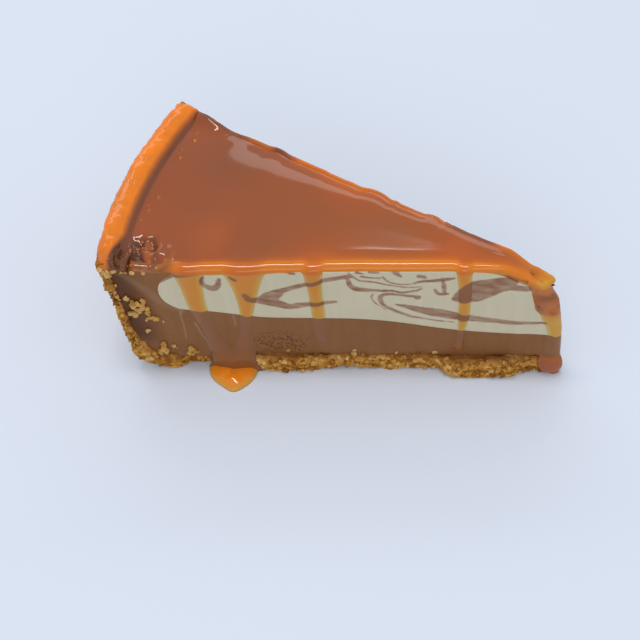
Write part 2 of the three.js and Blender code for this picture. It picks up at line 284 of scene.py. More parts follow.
@dataclass(frozen=True)
class Wedge:
    """The slice's section and the way it is carried across, as the solids have it."""

    tin_radius: float = 127.0
    slices_in_cake: int = 12
    filling_top: float = 44.4
    pool_top: float = 46.4
    rim_top: float = 50.0
    base_thick: float = 6.2
    wall_thick: float = 4.4
    wall_flare: float = 4.0
    corner: float = 9.0
    fillet: float = 7.0
    tip_half_width: float = 1.3
    tip_beyond: float = 4.2
    tip_lean: float = 6.0
    tip_droop: float = 5.6
    seam_low: float = 15.6
    seam_middle: float = 24.0
    seam_rim: float = 28.0
    seam_tip_rise: float = 2.2
    straight_to: float = 98.0
    end_r: float = 104.0
    end_z: float = 35.8
    end_long: float = 7.6
    end_tall: float = 8.0
    foot_x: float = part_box("chocolate_layer")[1].x / MM

    @property
    def half_angle(self) -> float:
        """Half of the angle between the two cut faces."""
        return math.pi / self.slices_in_cake

    def wall_outer(self, z: np.ndarray) -> np.ndarray:
        """The outside of the crumb wall, which leans out evenly with height."""
        return self.tin_radius - self.wall_flare * (1 - np.asarray(z) / self.rim_top)

    def wall_inner(self, z: np.ndarray) -> np.ndarray:
        """The inside of the crumb wall."""
        return self.wall_outer(z) - self.wall_thick

    def filling(self, r: np.ndarray) -> np.ndarray:
        """The height of the set filling, which sinks towards the tip."""
        return self.filling_top - self.tip_droop * (1 - ease(3, 18, r))

    def pool(self, r: np.ndarray) -> np.ndarray:
        """The height of the poured caramel, which sinks towards the tip."""
        return self.pool_top - self.tip_droop * (1 - ease(-2, 14, r))

    def seam(self, r: np.ndarray) -> np.ndarray:
        """The line between chocolate and vanilla.

        Args:
            r: Distances from the tip.

        Returns:
            Its heights: the lowest, two smooth climbs towards the rim, and a rise at the tip.
        """
        climb = (self.seam_middle - self.seam_low) * ease(8, 62, r)
        climb = climb + (self.seam_rim - self.seam_middle) * ease(78, 108, r)
        return self.seam_low + climb + self.seam_tip_rise * (1 - ease(0, 36, r))

    def vanilla_end(self, z: np.ndarray) -> np.ndarray:
        """How far out the vanilla's round end reaches at a height: an ellipse."""
        share = np.sqrt(np.clip(1 - ((z - self.end_z) / self.end_tall) ** 2, 0, 1))
        return self.end_r + self.end_long * share

    def lean(self, r: np.ndarray, z: np.ndarray) -> np.ndarray:
        """How far the tip stands back from its foot: square of the height, fading with r."""
        return self.tip_lean * np.maximum(0, (z - 16) / 28) ** 2 * np.maximum(0, 1 - r / 30)

    def half_width(self, r: np.ndarray) -> np.ndarray:
        """Half the wedge's width: a straight taper, blunted by a hyperbola at the tip."""
        sharp = (r - self.tip_beyond) * math.sin(self.half_angle) / 2
        return sharp + np.hypot(sharp, self.tip_half_width)

    def place(self, r: np.ndarray, v: np.ndarray, z: np.ndarray, over: np.ndarray = 0.0) -> np.ndarray:
        """Carries section coordinates into space.

        Args:
            r, v, z: Section coordinates.
            over: How far the point stands out past its cut face.

        Returns:
            Points: r laid off along the ray at angle v * half_angle, and moved sideways to
            the wedge's half width there.
        """
        angle = v * self.half_angle
        bow = 1 - np.sqrt(np.maximum(0, 1 - v * v))
        rounding = self.tip_half_width * bow * np.exp(-np.maximum(0, r) / 6)
        reach = r + self.lean(r, z) + rounding
        side = self.half_width(r) - r * math.sin(self.half_angle) + over
        x = self.foot_x - reach * np.cos(angle)
        y = reach * np.sin(angle) + v * side
        return np.stack(np.broadcast_arrays(x, y, z), -1)

    def on_face(self, side: Side, r: np.ndarray, z: np.ndarray, out: np.ndarray) -> np.ndarray:
        """Points of a cut face, moved out along the face's normal.

        Args:
            side: Which face.
            r, z: Section coordinates.
            out: How far each point is moved.

        Returns:
            The points in space.
        """
        point = self.place(np.asarray(r, float), float(side.value), np.asarray(z, float))
        normal = [math.sin(self.half_angle), side.value * math.cos(self.half_angle), 0]
        return point + np.asarray(out, float)[..., None] * np.array(normal)

    def relief(self, r: np.ndarray, z: np.ndarray, v: np.ndarray) -> np.ndarray:
        """Slight unevenness of a cut face, shared by all that lies on it.

        Args:
            r, z, v: Section coordinates.

        Returns:
            How far the face stands out: two noises added.
        """
        r, z, v = np.broadcast_arrays(r, z, v)
        flat = np.stack([r, 9 * np.sign(v), z], -1)
        return 0.12 * noise(flat, 11, 5) + 0.05 * noise(flat, 3.5, 6)

    def broken_edge(self, r: np.ndarray) -> np.ndarray:
        """How far the near cut of the crumb base stands out of the face.

        Args:
            r: Distances from the tip.

        Returns:
            A lump near the tip, a rough stretch and a torn-out one, each eased in and out.
        """
        lump = 3.0 * ease(8, 14, r) * (1 - ease(30, 36, r))
        rough = 1.4 * ease(66, 76, r) * (1 - ease(84, 90, r))
        torn = -2.2 * ease(97, 102, r) * (1 - ease(108, 112, r))
        return lump + rough + torn


WEDGE = Wedge()


class Nodes:
    """A shader's node tree, filled from left to right."""

    def __init__(self, tree: bpy.types.NodeTree) -> None:
        """Keeps the tree that the nodes go into."""
        self.tree = tree

    def fill(self, socket: bpy.types.NodeSocket, value: object) -> None:
        """Links an output to a socket, or sets the socket.

        Args:
            socket: The input socket.
            value: An output socket, a number or a colour.
        """
        if isinstance(value, bpy.types.NodeSocket):
            self.tree.links.new(value, socket)
        else:
            socket.default_value = value

    def add(self, kind: str, inputs: dict | None = None, **settings: object) -> bpy.types.Node:
        """Adds a node.

        Args:
            kind: The node's type, without its ShaderNode prefix.
            inputs: Values or output sockets for the node's inputs, by name or number.
            settings: The node's own properties.

        Returns:
            The node.
        """
        node = self.tree.nodes.new("ShaderNode" + kind)
        for name, value in settings.items():
            setattr(node, name, value)
        for key, value in (inputs or {}).items():
            self.fill(node.inputs[key], value)
        return node

    def value(self, name: str) -> bpy.types.NodeSocket:
        """A named value that the mesh carries."""
        return self.add("Attribute", attribute_name=name).outputs["Fac"]

    def math(self, operation: str, *terms: object) -> bpy.types.NodeSocket:
        """The result of one sum of numbers."""
        return self.add("Math", dict(enumerate(terms)), operation=operation).outputs[0]

    def mix(self, share: object, first: object, second: object) -> bpy.types.NodeSocket:
        """Two colours, blended.

        Args:
            share: The second colour's share.
            first, second: The colours, each an output or four numbers.

        Returns:
            The blend.
        """
        inputs = {0: share, 6: first, 7: second}
        return self.add("Mix", inputs, data_type="RGBA").outputs[2]

    def ramp(self, value: object, stops: tuple) -> bpy.types.NodeSocket:
        """A colour for a value.

        Args:
            value: The output that picks the colour, 0 to 1.
            stops: Positions and their colours, blended smoothly between.

        Returns:
            The colour.
        """
        node = self.add("ValToRGB", {"Fac": value})
        node.color_ramp.interpolation = "EASE"
        while len(node.color_ramp.elements) < len(stops):
            node.color_ramp.elements.new(0.5)
        for element, (position, colour) in zip(node.color_ramp.elements, stops):
            element.position, element.color = position, (*colour, 1)
        return node.outputs["Color"]

    def step(self, value: object, low: float, high: float) -> bpy.types.NodeSocket:
        """0 below `low`, 1 above `high`, and a smooth rise between them."""
        inputs = {"Value": value, "From Min": low, "From Max": high}
        return self.add("MapRange", inputs, interpolation_type="SMOOTHSTEP").outputs[0]

    def place(self) -> bpy.types.NodeSocket:
        """Where the point lies, in the object's own metres."""
        return self.add("TexCoord").outputs["Object"]

    def noise(self, scale: float, detail: float = 3, stretch: tuple | None = None) -> bpy.types.NodeSocket:
        """Noise in space.

        Args:
            scale: How many lumps there are to a metre.
            detail: How many finer noises are added.
            stretch: A factor for each axis, where the noise is drawn out along one.

        Returns:
            The noise, about 0 to 1.
        """
        where = self.place()
        if stretch:
            where = self.add("Mapping", {"Vector": where, "Scale": stretch}).outputs[0]
        inputs = {"Vector": where, "Scale": scale, "Detail": detail}
        return self.add("TexNoise", inputs).outputs["Fac"]


def effect_group(name: str, takes: dict[str, str], gives: dict[str, str]) -> tuple:
    """Starts a shader node group.

    Args:
        name: The group's name.
        takes: Input names and whether each is a Float or a Color.
        gives: Output names and kinds.

    Returns:
        The group, its Nodes, its input node and its output node.
    """
    group = bpy.data.node_groups.new(name, "ShaderNodeTree")
    for in_out, sockets in (("INPUT", takes), ("OUTPUT", gives)):
        for socket, kind in sockets.items():
            group.interface.new_socket(socket, in_out=in_out, socket_type="NodeSocket" + kind)
    return group, Nodes(group), group.nodes.new("NodeGroupInput"), group.nodes.new("NodeGroupOutput")


class Effects:
    """Shader effects that more than one material uses."""

    def __init__(self) -> None:
        """Builds each group once."""
        self.crumb = self.crumb_group()
        self.set_filling = self.set_filling_group()
        self.film = self.film_group()

    def crumb_group(self) -> bpy.types.NodeTree:
        """Baked biscuit crumb: each lump's own brown, with painted shade in the hollows, and fine grit.

        Returns:
            The group: colour and height from a lump's tone, the painted shade of its hollows and how toasted
                it is.
        """
        takes = {"Tone": "Float", "Hollow": "Float", "Toast": "Float"}
        group, nodes, given, made = effect_group("crumb grain", takes, {"Color": "Color", "Height": "Float"})
        grit = nodes.noise(1500, 4)
        patch = nodes.noise(160, 2)
        mixed = nodes.math("MULTIPLY_ADD", grit, 0.5, given.outputs["Tone"])
        mixed = nodes.math("MULTIPLY_ADD", patch, 1.1, mixed)
        lump = nodes.ramp(nodes.math("MULTIPLY_ADD", mixed, 0.62, -0.3),
                          ((0.05, (0.17, 0.058, 0.009)), (0.36, (0.37, 0.142, 0.018)),
                           (0.64, (0.56, 0.275, 0.05)), (0.95, (0.74, 0.48, 0.18))))
        toasted = nodes.mix(given.outputs["Toast"], lump, (0.24, 0.086, 0.022, 1))
        # Painted shade: darker by the Hollow value, shade in the hollows between lumps, and on loose crumbs a
        # random darker tone.
        shaded = nodes.mix(given.outputs["Hollow"], toasted, (0.10, 0.032, 0.008, 1))
        group.links.new(shaded, made.inputs["Color"])
        group.links.new(grit, made.inputs["Height"])
        return group

    def set_filling_group(self) -> bpy.types.NodeTree:
        """Set cheesecake: soft mottling, pinholes and the knife's faint upright drag.

        Returns:
            The group: shade, pores and height from how porous the filling is.
        """
        gives = {"Shade": "Float", "Pores": "Float", "Height": "Float"}
        group, nodes, given, made = effect_group("set filling", {"Porous": "Float"}, gives)
        mottle = nodes.noise(70, 3)
        drag = nodes.noise(520, 2, (1, 1, 0.06))
        cells = nodes.add("TexVoronoi", {"Vector": nodes.place(), "Scale": 1250.0})
        ragged = nodes.math("MULTIPLY_ADD", nodes.noise(500, 2), -0.3, cells.outputs["Distance"])
        size = nodes.math("MULTIPLY_ADD", given.outputs["Porous"], 0.34, -0.11)
        pit = nodes.add("MapRange", {"Value": nodes.math("SUBTRACT", ragged, size),
                                     "From Min": 0.0, "From Max": 0.14, "To Min": 1.0, "To Max": 0.0})
        shade = nodes.math("MULTIPLY_ADD", drag, 0.5, nodes.math("MULTIPLY", mottle, 0.5))
        height = nodes.math("MULTIPLY_ADD", pit.outputs[0], -1.0, nodes.math("MULTIPLY", drag, 0.35))
        group.links.new(shade, made.inputs["Shade"])
        group.links.new(pit.outputs[0], made.inputs["Pores"])
        group.links.new(height, made.inputs["Height"])
        return group

    def film_group(self) -> bpy.types.NodeTree:
        """Caramel over food: a colour for its depth over something pale, and one over something brown.

        Returns:
            The group: colour from the film's depth, how pale what lies under is, and its glow.
        """
        takes = {"Depth": "Float", "White": "Float", "Glow": "Float"}
        group, nodes, given, made = effect_group("caramel film", takes, {"Color": "Color"})
        depth = nodes.math("MULTIPLY", given.outputs["Depth"], 0.25)
        pale = nodes.ramp(depth, ((0.0, (0.52, 0.46, 0.31)), (0.03, (0.54, 0.39, 0.12)),
                                  (0.08, (0.57, 0.29, 0.028)), (0.16, (0.59, 0.215, 0.010)),
                                  (0.32, (0.64, 0.17, 0.005)), (0.5, (0.54, 0.118, 0.008)),
                                  (0.8, (0.43, 0.078, 0.011))))
        brown = nodes.ramp(depth, ((0.0, (0.225, 0.083, 0.020)), (0.2, (0.25, 0.085, 0.018)),
                                   (0.45, (0.250, 0.080, 0.024)), (0.8, (0.200, 0.063, 0.026)),
                                   (1.0, (0.11, 0.032, 0.010))))
        lies = nodes.mix(given.outputs["White"], brown, pale)
        # Glow mixes in bright orange: painted light where the thin near edge of the pool is lit through, and
        # elsewhere the caramel's own orange.
        lit = nodes.mix(given.outputs["Glow"], lies, (0.88, 0.215, 0.006, 1))
        group.links.new(lit, made.inputs["Color"])
        return group


class Finish:
    """A material with a Principled shader, dressed by its subclasses."""

    name = "finish"
    roughness = 0.5
    specular = 0.5

    def __init__(self, effects: Effects) -> None:
        """Makes the material and has the finish dress it.

        Args:
            effects: The shared effects.
        """
        self.effects = effects
        self.material = bpy.data.materials.new(self.name)
        self.material.use_nodes = True
        self.nodes = Nodes(self.material.node_tree)
        self.shader = self.material.node_tree.nodes["Principled BSDF"]
        self.shader.inputs["Roughness"].default_value = self.roughness
        self.shader.inputs["Specular IOR Level"].default_value = self.specular
        self.dress()

    def dress(self) -> None:
        """Links the finish's own nodes to the shader."""
        raise NotImplementedError

    def feed(self, socket: str, source: bpy.types.NodeSocket) -> None:
        """Links a socket of the shader."""
        self.nodes.tree.links.new(source, self.shader.inputs[socket])

    def group(self, tree: bpy.types.NodeTree, inputs: dict) -> bpy.types.Node:
        """Places an effect in this material, its inputs given by name."""
        return self.nodes.add("Group", inputs, node_tree=tree)

    def bump(self, height: bpy.types.NodeSocket, millimetres: float) -> None:
        """Roughens the surface by a height."""
        inputs = {"Height": height, "Distance": millimetres * MM}
        self.feed("Normal", self.nodes.add("Bump", inputs).outputs["Normal"])


class CrumbFinish(Finish):
    """Baked biscuit crumb."""

    name = "baked crumb"
    roughness = 0.75
    specular = 0.12

    def dress(self) -> None:
        """Colours each lump by its tone, with painted shade in its hollows."""
        values = {"Tone": self.nodes.value("tone"), "Hollow": self.nodes.value("hollow"),
                  "Toast": self.nodes.value("toast")}
        grain = self.group(self.effects.crumb, values)
        self.feed("Base Color", grain.outputs["Color"])
        self.bump(grain.outputs["Height"], 0.25)


class ChocolateFinish(Finish):
    """Set chocolate cheesecake."""

    name = "chocolate filling"
    roughness = 0.42
    specular = 0.14

    def dress(self) -> None:
        """Mottled brown, with pores painted dark as their shade where the mesh says, pale smears, and darker
        by the crust.
        """
        filling = self.group(self.effects.set_filling, {"Porous": self.nodes.value("porous")})
        brown = self.nodes.mix(filling.outputs["Shade"], (0.20, 0.076, 0.024, 1), (0.295, 0.130, 0.047, 1))
        # Painted shade: the pinholes are darkened for the shade inside them.
        pitted = self.nodes.mix(filling.outputs["Pores"], brown, (0.16, 0.055, 0.016, 1))
        baked = self.nodes.mix(self.nodes.value("baked"), pitted, (0.095, 0.030, 0.009, 1))
        smeared = self.nodes.mix(self.nodes.value("pale"), baked, (0.36, 0.23, 0.13, 1))
        self.feed("Base Color", smeared)
        self.bump(filling.outputs["Height"], 0.1)


class VanillaFinish(Finish):
    """Set vanilla cheesecake marbled with chocolate."""

    name = "vanilla filling"
    roughness = 0.38
    specular = 0.4

    def dress(self) -> None:
        """Ivory, browned where the marbling's distance is below nothing."""
        filling = self.group(self.effects.set_filling, {"Porous": 0.02})
        wander = self.nodes.math("MULTIPLY_ADD", self.nodes.noise(900, 2), 0.5, -0.25)
        edge = self.nodes.math("ADD", self.nodes.value("marble"), wander)
        brown = self.nodes.math("SUBTRACT", 1.0, self.nodes.step(edge, -0.28, 0.34))
        brown = self.nodes.math("MULTIPLY", brown, self.nodes.value("strength"))
        ivory = self.nodes.mix(filling.outputs["Shade"], (0.53, 0.46, 0.30, 1), (0.655, 0.595, 0.425, 1))
        cocoa = self.nodes.mix(filling.outputs["Shade"], (0.20, 0.074, 0.028, 1), (0.33, 0.140, 0.062, 1))
        self.feed("Base Color", self.nodes.mix(brown, ivory, cocoa))
        self.bump(filling.outputs["Height"], 0.08)
        self.shader.inputs["Subsurface Weight"].default_value = 0.12
        self.shader.inputs["Subsurface Radius"].default_value = (0.003, 0.002, 0.001)


class CaramelFinish(Finish):
    """Poured caramel, glossy, over whatever the mesh says lies under it."""

    name = "poured caramel"
    roughness = 0.07
    specular = 0.38

    def dress(self) -> None:
        """Colour by depth and glow, with slow clouds inside."""
        cloud = self.nodes.noise(32, 3)
        white = self.nodes.math("MULTIPLY_ADD", cloud, 0.3, self.nodes.value("white"))
        white = self.nodes.add("Clamp", {"Value": self.nodes.math("SUBTRACT", white, 0.15)}).outputs[0]
        values = {"White": white, "Depth": self.nodes.value("depth"), "Glow": self.nodes.value("glow")}
        film = self.group(self.effects.film, values)
        self.feed("Base Color", film.outputs["Color"])
        self.bump(self.nodes.noise(150, 2), 0.008)


def put_piece(name: str, skin: Skin, finish: Finish, part: Part) -> None:
    """Makes a mesh object of a skin, in metres, that stands for a solid and rides on its body.

    Args:
        name: The piece's name.
        skin: Its surface.
        finish: Its material.
        part: The solid that it stands for.
    """
    node, slot = part.value
    skin.turn_outwards()
    mesh = bpy.data.meshes.new(name)
    count = len(skin.faces)
    mesh.vertices.add(len(skin.points))
    mesh.vertices.foreach_set("co", (skin.points * MM).astype(np.float32).ravel())
    mesh.loops.add(3 * count)
    mesh.loops.foreach_set("vertex_index", skin.faces.astype(np.int32).ravel())
    mesh.polygons.add(count)
    mesh.polygons.foreach_set("loop_start", np.arange(0, 3 * count, 3, dtype=np.int32))
    mesh.polygons.foreach_set("use_smooth", np.ones(count, bool))
    mesh.update(calc_edges=True)
    for key, values in skin.values.items():
        attribute = mesh.attributes.new(key, "FLOAT", "POINT")
        attribute.data.foreach_set("value", np.ascontiguousarray(values, np.float32))
    mesh.materials.append(finish.material)
    piece = bpy.data.objects.new(name, mesh)
    bpy.context.scene.collection.objects.link(piece)
    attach(piece, BODY)
    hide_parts(node)
    LOG.info("%s: %d points, %d triangles", name, len(skin.points), count)


# Crumbs that the knife dragged over the near face: distance from the tip, height, size, how pale.
DRAGGED = (
    (124.7, 45.4, 2.5, 0.5), (119.2, 31.2, 2.6, 0.3), (117.4, 30.0, 2.3, 0.3), (116.6, 32.0, 1.8, 0.3),
    (120.3, 26.6, 2.4, 0.4), (118.5, 28.0, 2.0, 0.2), (116.5, 24.4, 2.0, 0.4), (116.4, 27.3, 2.0, 0.3),
    (121.2, 33.2, 1.7, 0.9), (114.0, 23.8, 1.6, 0.5), (112.5, 22.3, 0.8, 0.9), (117.6, 18.0, 1.2, 0.9),
    (114.4, 12.0, 1.8, 0.1), (115.0, 9.0, 2.3, 0.6), (111.5, 10.6, 1.5, 0.6), (106.4, 9.3, 2.1, 0.6),
    (106.8, 7.4, 2.0, 0.5), (105.2, 8.2, 1.6, 0.5), (123.6, 39.2, 1.0, 0.9), (58.7, 7.4, 1.4, 1.0),
    (58.6, 8.8, 0.9, 1.0), (78.0, 8.4, 1.0, 0.2), (35.6, 8.0, 1.0, 0.3), (46.6, 7.8, 0.9, 0.6),
    (126.6, 46.6, 1.7, 0.9), (125.9, 44.0, 1.6, 0.9), (122.4, 45.4, 1.4, 0.8), (120.4, 44.8, 1.2, 0.7),
    (117.8, 44.4, 1.1, 0.5), (114.6, 44.2, 0.9, 0.4),
)


@dataclass
class CrumbCrust:
    """The crumb base and wall, and the loose crumb that clings to them."""

    finish: CrumbFinish
    wedge: Wedge = WEDGE
    grain: float = 1.35
    fine_grain: float = 0.62
    crag: float = 0.62
    proud: float = 0.25
    base_cells: tuple[int, int, int] = (480, 18, 30)
    wall_cells: tuple[int, int, int] = (175, 190, 16)
    foot_crumbs: int = 520
    cut_crumbs: int = 150
    wall_crumbs: int = 420
    broken_into: int = 6

    def rough(self, points: np.ndarray, normals: np.ndarray, bare: np.ndarray) -> Skin:
        """Breaks a smooth skin into crumb.

        Args:
            points: The smooth skin.
            normals: Which way each point moves, with its share.
            bare: Where crumb shows.

        Returns:
            A skin without faces: points moved out by the domes of two packings and by
            slow noise, and the values that colour them, painted shade in the hollows among them.
        """
        dome, tone = grains(points, self.grain, 11)
        small, _ = grains(points, self.fine_grain, 21)
        slow = noise(points, 4.2, 31)
        height = self.crag * (0.75 * dome + 0.35 * small - 0.55) + 0.5 * slow
        moved = points + normals * (bare * height)[..., None]
        moved[..., 2] = np.maximum(moved[..., 2], 0)
        # Painted shade: darker where the crumb lies low between the domes of the packings.
        hollow = np.clip(0.85 - 1.1 * dome - 0.35 * small - 0.2 * slow, 0, 1) * 0.85
        return Skin(moved, np.zeros((0, 3), int), {"tone": tone, "hollow": hollow})

    def base(self) -> None:
        """The base: a flat block from the tip to past the corner, its cuts broken into crumb."""
        length = self.wedge.wall_outer(self.wedge.corner) - self.wedge.corner + 2
        columns, rows, layers = self.base_cells
        skin, faces = box_skin(np.linspace(0, 1, columns), crowded(rows), np.linspace(0, 1, layers))
        r, v, up = skin[:, 0] * length, skin[:, 1], skin[:, 2]
        edge = ease(0.55, 1, np.abs(v))
        flat = np.stack([r, 30 * v, np.zeros_like(r)], -1)
        top = self.wedge.base_thick + 0.6 * edge + 0.9 * noise(flat, 5.5, 41) + 0.6 * noise(flat, 2.1, 43)
        foot = edge * np.maximum(0, 1.3 * noise(flat, 4.5, 47) - 0.1)
        z = foot + (top - foot) * up
        out = np.where(v < 0, self.wedge.broken_edge(r) * (0.35 + 0.65 * (1 - ease(4, 9, z))), 0.0)
        smooth = self.wedge.place(r, v, z, edge * (out + self.proud))
        sideways = np.sign(v) * edge
        normals = np.stack([0.26 * edge - 0.7 * (r < 0.3), sideways, 0.6 * ease(0.8, 1, up)], -1)
        rough = self.rough(smooth, normals, np.maximum(edge, ease(0.7, 1, up) * 0.3))
        rough.values["toast"] = 0.85 * ease(4.6, 7.2, z + 0.6 * noise(flat, 3.1, 49)) * edge
        put_piece("crumb_crust_base", Skin(rough.points, faces, rough.values), self.finish, Part.CRUST)

    def wall_sections(self) -> np.ndarray:
        """The wall's section, from under the corner up to its top.

        Returns:
            Stations of the wall: r and z of its outside, then of its inside.
        """
        wedge = self.wedge
        turn = np.linspace(0, math.pi / 2, 9)
        foot = wedge.wall_outer(wedge.corner) - wedge.corner
        outer_corner = np.stack([foot + wedge.corner * np.sin(turn), wedge.corner * (1 - np.cos(turn))], -1)
        height = wedge.base_thick + wedge.fillet
        inner_foot = wedge.wall_inner(height) - wedge.fillet
        inner_corner = np.stack([inner_foot + wedge.fillet * np.sin(turn),
                                 height - wedge.fillet * np.cos(turn)], -1)
        rise = np.array([18.0, 26.0, 34.0, 42.0, 48.4])
        outer = np.vstack([[foot - 6, 0], outer_corner, np.stack([wedge.wall_outer(rise), rise], -1)])
        inner = np.vstack([[inner_foot - 6, wedge.base_thick], inner_corner,
                           np.stack([wedge.wall_inner(rise), rise], -1)])
        return np.hstack([outer, inner])

    def wall(self) -> None:
        """The wall: a band between its two outlines, rough outside and on its cuts."""
        columns, rows, layers = self.wall_cells
        stations = evenly(self.wall_sections(), columns)
        skin, r, z, faces = band_skin(stations, np.linspace(-1, 1, rows), np.linspace(0, 1, layers))
        v, inwards = skin[:, 1], skin[:, 2]
        cut = ease(0.93, 1, np.abs(v))
        outside = (1 - ease(0.0, 0.35, inwards)) * ease(0.0, 0.2, skin[:, 0])
        out = np.where(v < 0, self.wedge.broken_edge(r) * (1 - ease(7, 12, z)), 0.0)
        smeared = ease(0.40, 0.62, inwards) * ease(10, 16, z)
        cut = cut * (1 - 0.9 * smeared)
        smooth = self.wedge.place(r, v, z, cut * (out + self.proud) - 0.4 * smeared)
        angle = v * self.wedge.half_angle
        away = np.stack([-np.cos(angle), np.sin(angle), np.zeros_like(angle)], -1) * outside[:, None]
        across = np.stack([0.26 * cut, np.sign(v) * cut, np.zeros_like(cut)], -1)
        rough = self.rough(smooth, away + across, np.ones_like(r))
        soaked = noise(np.stack([40 * v, r, z], -1), 6, 51)
        rough.values["toast"] = np.clip(0.05 + 0.35 * ease(30, 46, z) + 0.4 * soaked, 0, 0.9)
        put_piece("crumb_crust_wall", Skin(rough.points, faces, rough.values), self.finish, Part.CRUST)

    def build(self) -> None:
        """Makes the base, the wall and the loose crumb."""
        self.base()
        self.wall()
        self.loose()

    def loose(self) -> None:
        """Loose crumb: uneven lumps on both cuts' feet, on the wall, and dragged up the faces."""
        random = np.random.default_rng(7)
        places, sizes = [], []
        for side in Side:
            r = random.uniform(1, 118, self.foot_crumbs)
            z = 0.5 + 6.4 * random.random(self.foot_crumbs) ** 1.2
            out = (self.wedge.broken_edge(r) if side is Side.NEAR else 0 * r) * (1 - ease(5, 9, z))
            places.append(self.wedge.on_face(side, r, z, out + 0.35))
            sizes.append(0.22 + 0.6 * random.random(self.foot_crumbs) ** 2.4)
            z = random.uniform(4, 46, self.cut_crumbs)
            r = self.wedge.wall_outer(z) - 2.4 * random.random(self.cut_crumbs)
            places.append(self.wedge.on_face(side, r, z, 0.3 + 0 * r))
            sizes.append(0.22 + 0.45 * random.random(self.cut_crumbs) ** 2)
        z, corner = random.uniform(2, 46, self.wall_crumbs), self.wedge.corner
        under = corner - np.sqrt(np.maximum(0, corner**2 - (corner - z) ** 2))
        r = self.wedge.wall_outer(z) - np.where(z < corner, under, 0)
        places.append(self.wedge.place(r + 0.35, random.uniform(-0.98, 0.98, self.wall_crumbs), z))
        sizes.append(0.25 + 0.65 * random.random(self.wall_crumbs) ** 2)
        dragged = np.repeat(np.array(DRAGGED), self.broken_into, axis=0)
        apart = random.normal(size=(len(dragged), 2)) * 0.24 * dragged[:, 2:3]
        places.append(self.wedge.on_face(Side.NEAR, dragged[:, 0] + apart[:, 0], dragged[:, 1] + apart[:, 1],
                                         0.22 * dragged[:, 2]))
        sizes.append(dragged[:, 2] * random.uniform(0.2, 0.42, len(dragged)))
        tones = [random.random(len(part)) for part in sizes]
        tones[-1] = 0.75 + 0.45 * dragged[:, 3]
        lumps = crumbs(np.vstack(places), np.concatenate(sizes), np.concatenate(tones), random)
        put_piece("loose_crumbs", lumps, self.finish, Part.CRUST)


def crumbs(places: np.ndarray, sizes: np.ndarray, tones: np.ndarray, random: np.random.Generator) -> Skin:
    """Uneven lumps: copies of one round of 42 points, each point's radius and each lump's turn its own.

    Args:
        places: The lumps' middles.
        sizes: Their radii.
        tones: Their colours.
        random: Where the draws come from.

    Returns:
        One skin with 80 triangles a lump.
    """
    gold = (1 + 5**0.5) / 2
    corners = [(s, t * gold, 0) for s, t in itertools.product((-1, 1), repeat=2)]
    points = np.array([np.roll(corner, n) for corner in corners for n in range(3)], float)
    points /= np.linalg.norm(points[0])
    gaps = np.linalg.norm(points[:, None] - points[None], axis=-1)
    touching = (gaps > 0) & (gaps < 1.1)
    faces = [(i, j, k) for i, j, k in itertools.combinations(range(12), 3)
             if touching[i, j] and touching[j, k] and touching[i, k]]
    middle = {}
    for i, j in itertools.combinations(range(12), 2):
        if touching[i, j]:
            middle[i, j] = middle[j, i] = len(points)
            half = points[i] + points[j]
            points = np.vstack([points, half / np.linalg.norm(half)])
    split = []
    for i, j, k in faces:
        if np.dot(np.cross(points[j] - points[i], points[k] - points[i]), points[i]) < 0:
            j, k = k, j
        a, b, c = middle[i, j], middle[j, k], middle[i, k]
        split += [(i, a, c), (a, j, b), (c, b, k), (a, b, c)]
    count = len(places)
    turn = np.linalg.qr(random.normal(size=(count, 3, 3)))[0]
    turn *= np.sign(np.linalg.det(turn))[:, None, None]
    stretch = random.uniform(0.65, 1.25, (count, 1, 3))
    bumps = random.uniform(0.78, 1.22, (count, len(points), 1))
    lumps = (points[None] * stretch * bumps) @ turn * sizes[:, None, None] + places[:, None]
    lumps[..., 2] = np.maximum(lumps[..., 2], 0)
    starts = np.arange(count)[:, None, None] * len(points)
    all_faces = (np.array(split)[None] + starts).reshape(-1, 3)
    tone = np.repeat(tones, len(points)) + random.uniform(-0.12, 0.12, count * len(points))
    depth = np.repeat(random.uniform(0, 0.25, count), len(points))
    values = {"tone": tone, "hollow": depth, "toast": np.zeros_like(tone)}
    return Skin(lumps.reshape(-1, 3), all_faces, values)


# Smears that the knife left on the chocolate's near face, as strokes like the marbling's.
BROAD_SMEARS = (
    ((121.4, 44.0, 0.1), (118.6, 41.2, 0.3), (115.2, 36.6, 0.7), (112.6, 32.4, 0.6), (109.4, 29.2, 0.5),
     (106.5, 27.6, 0.4)),
)
THIN_SMEARS = (
    ((107.2, 26.5, 0.1), (107.0, 20.0, 0.04), (107.2, 14.0, 0.0)),
    ((103.6, 21.5, 0.12), (102.6, 17.0, 0.06), (101.2, 12.5, 0.04), (100.6, 8.0, 0.0)),
    ((92.2, 26.0, 0.12), (92.0, 22.0, 0.1), (92.3, 20.0, 0.0)),
    ((106.6, 29.0, 0.7), (106.8, 27.0, 0.5), (107.0, 25.5, 0.1)),
)


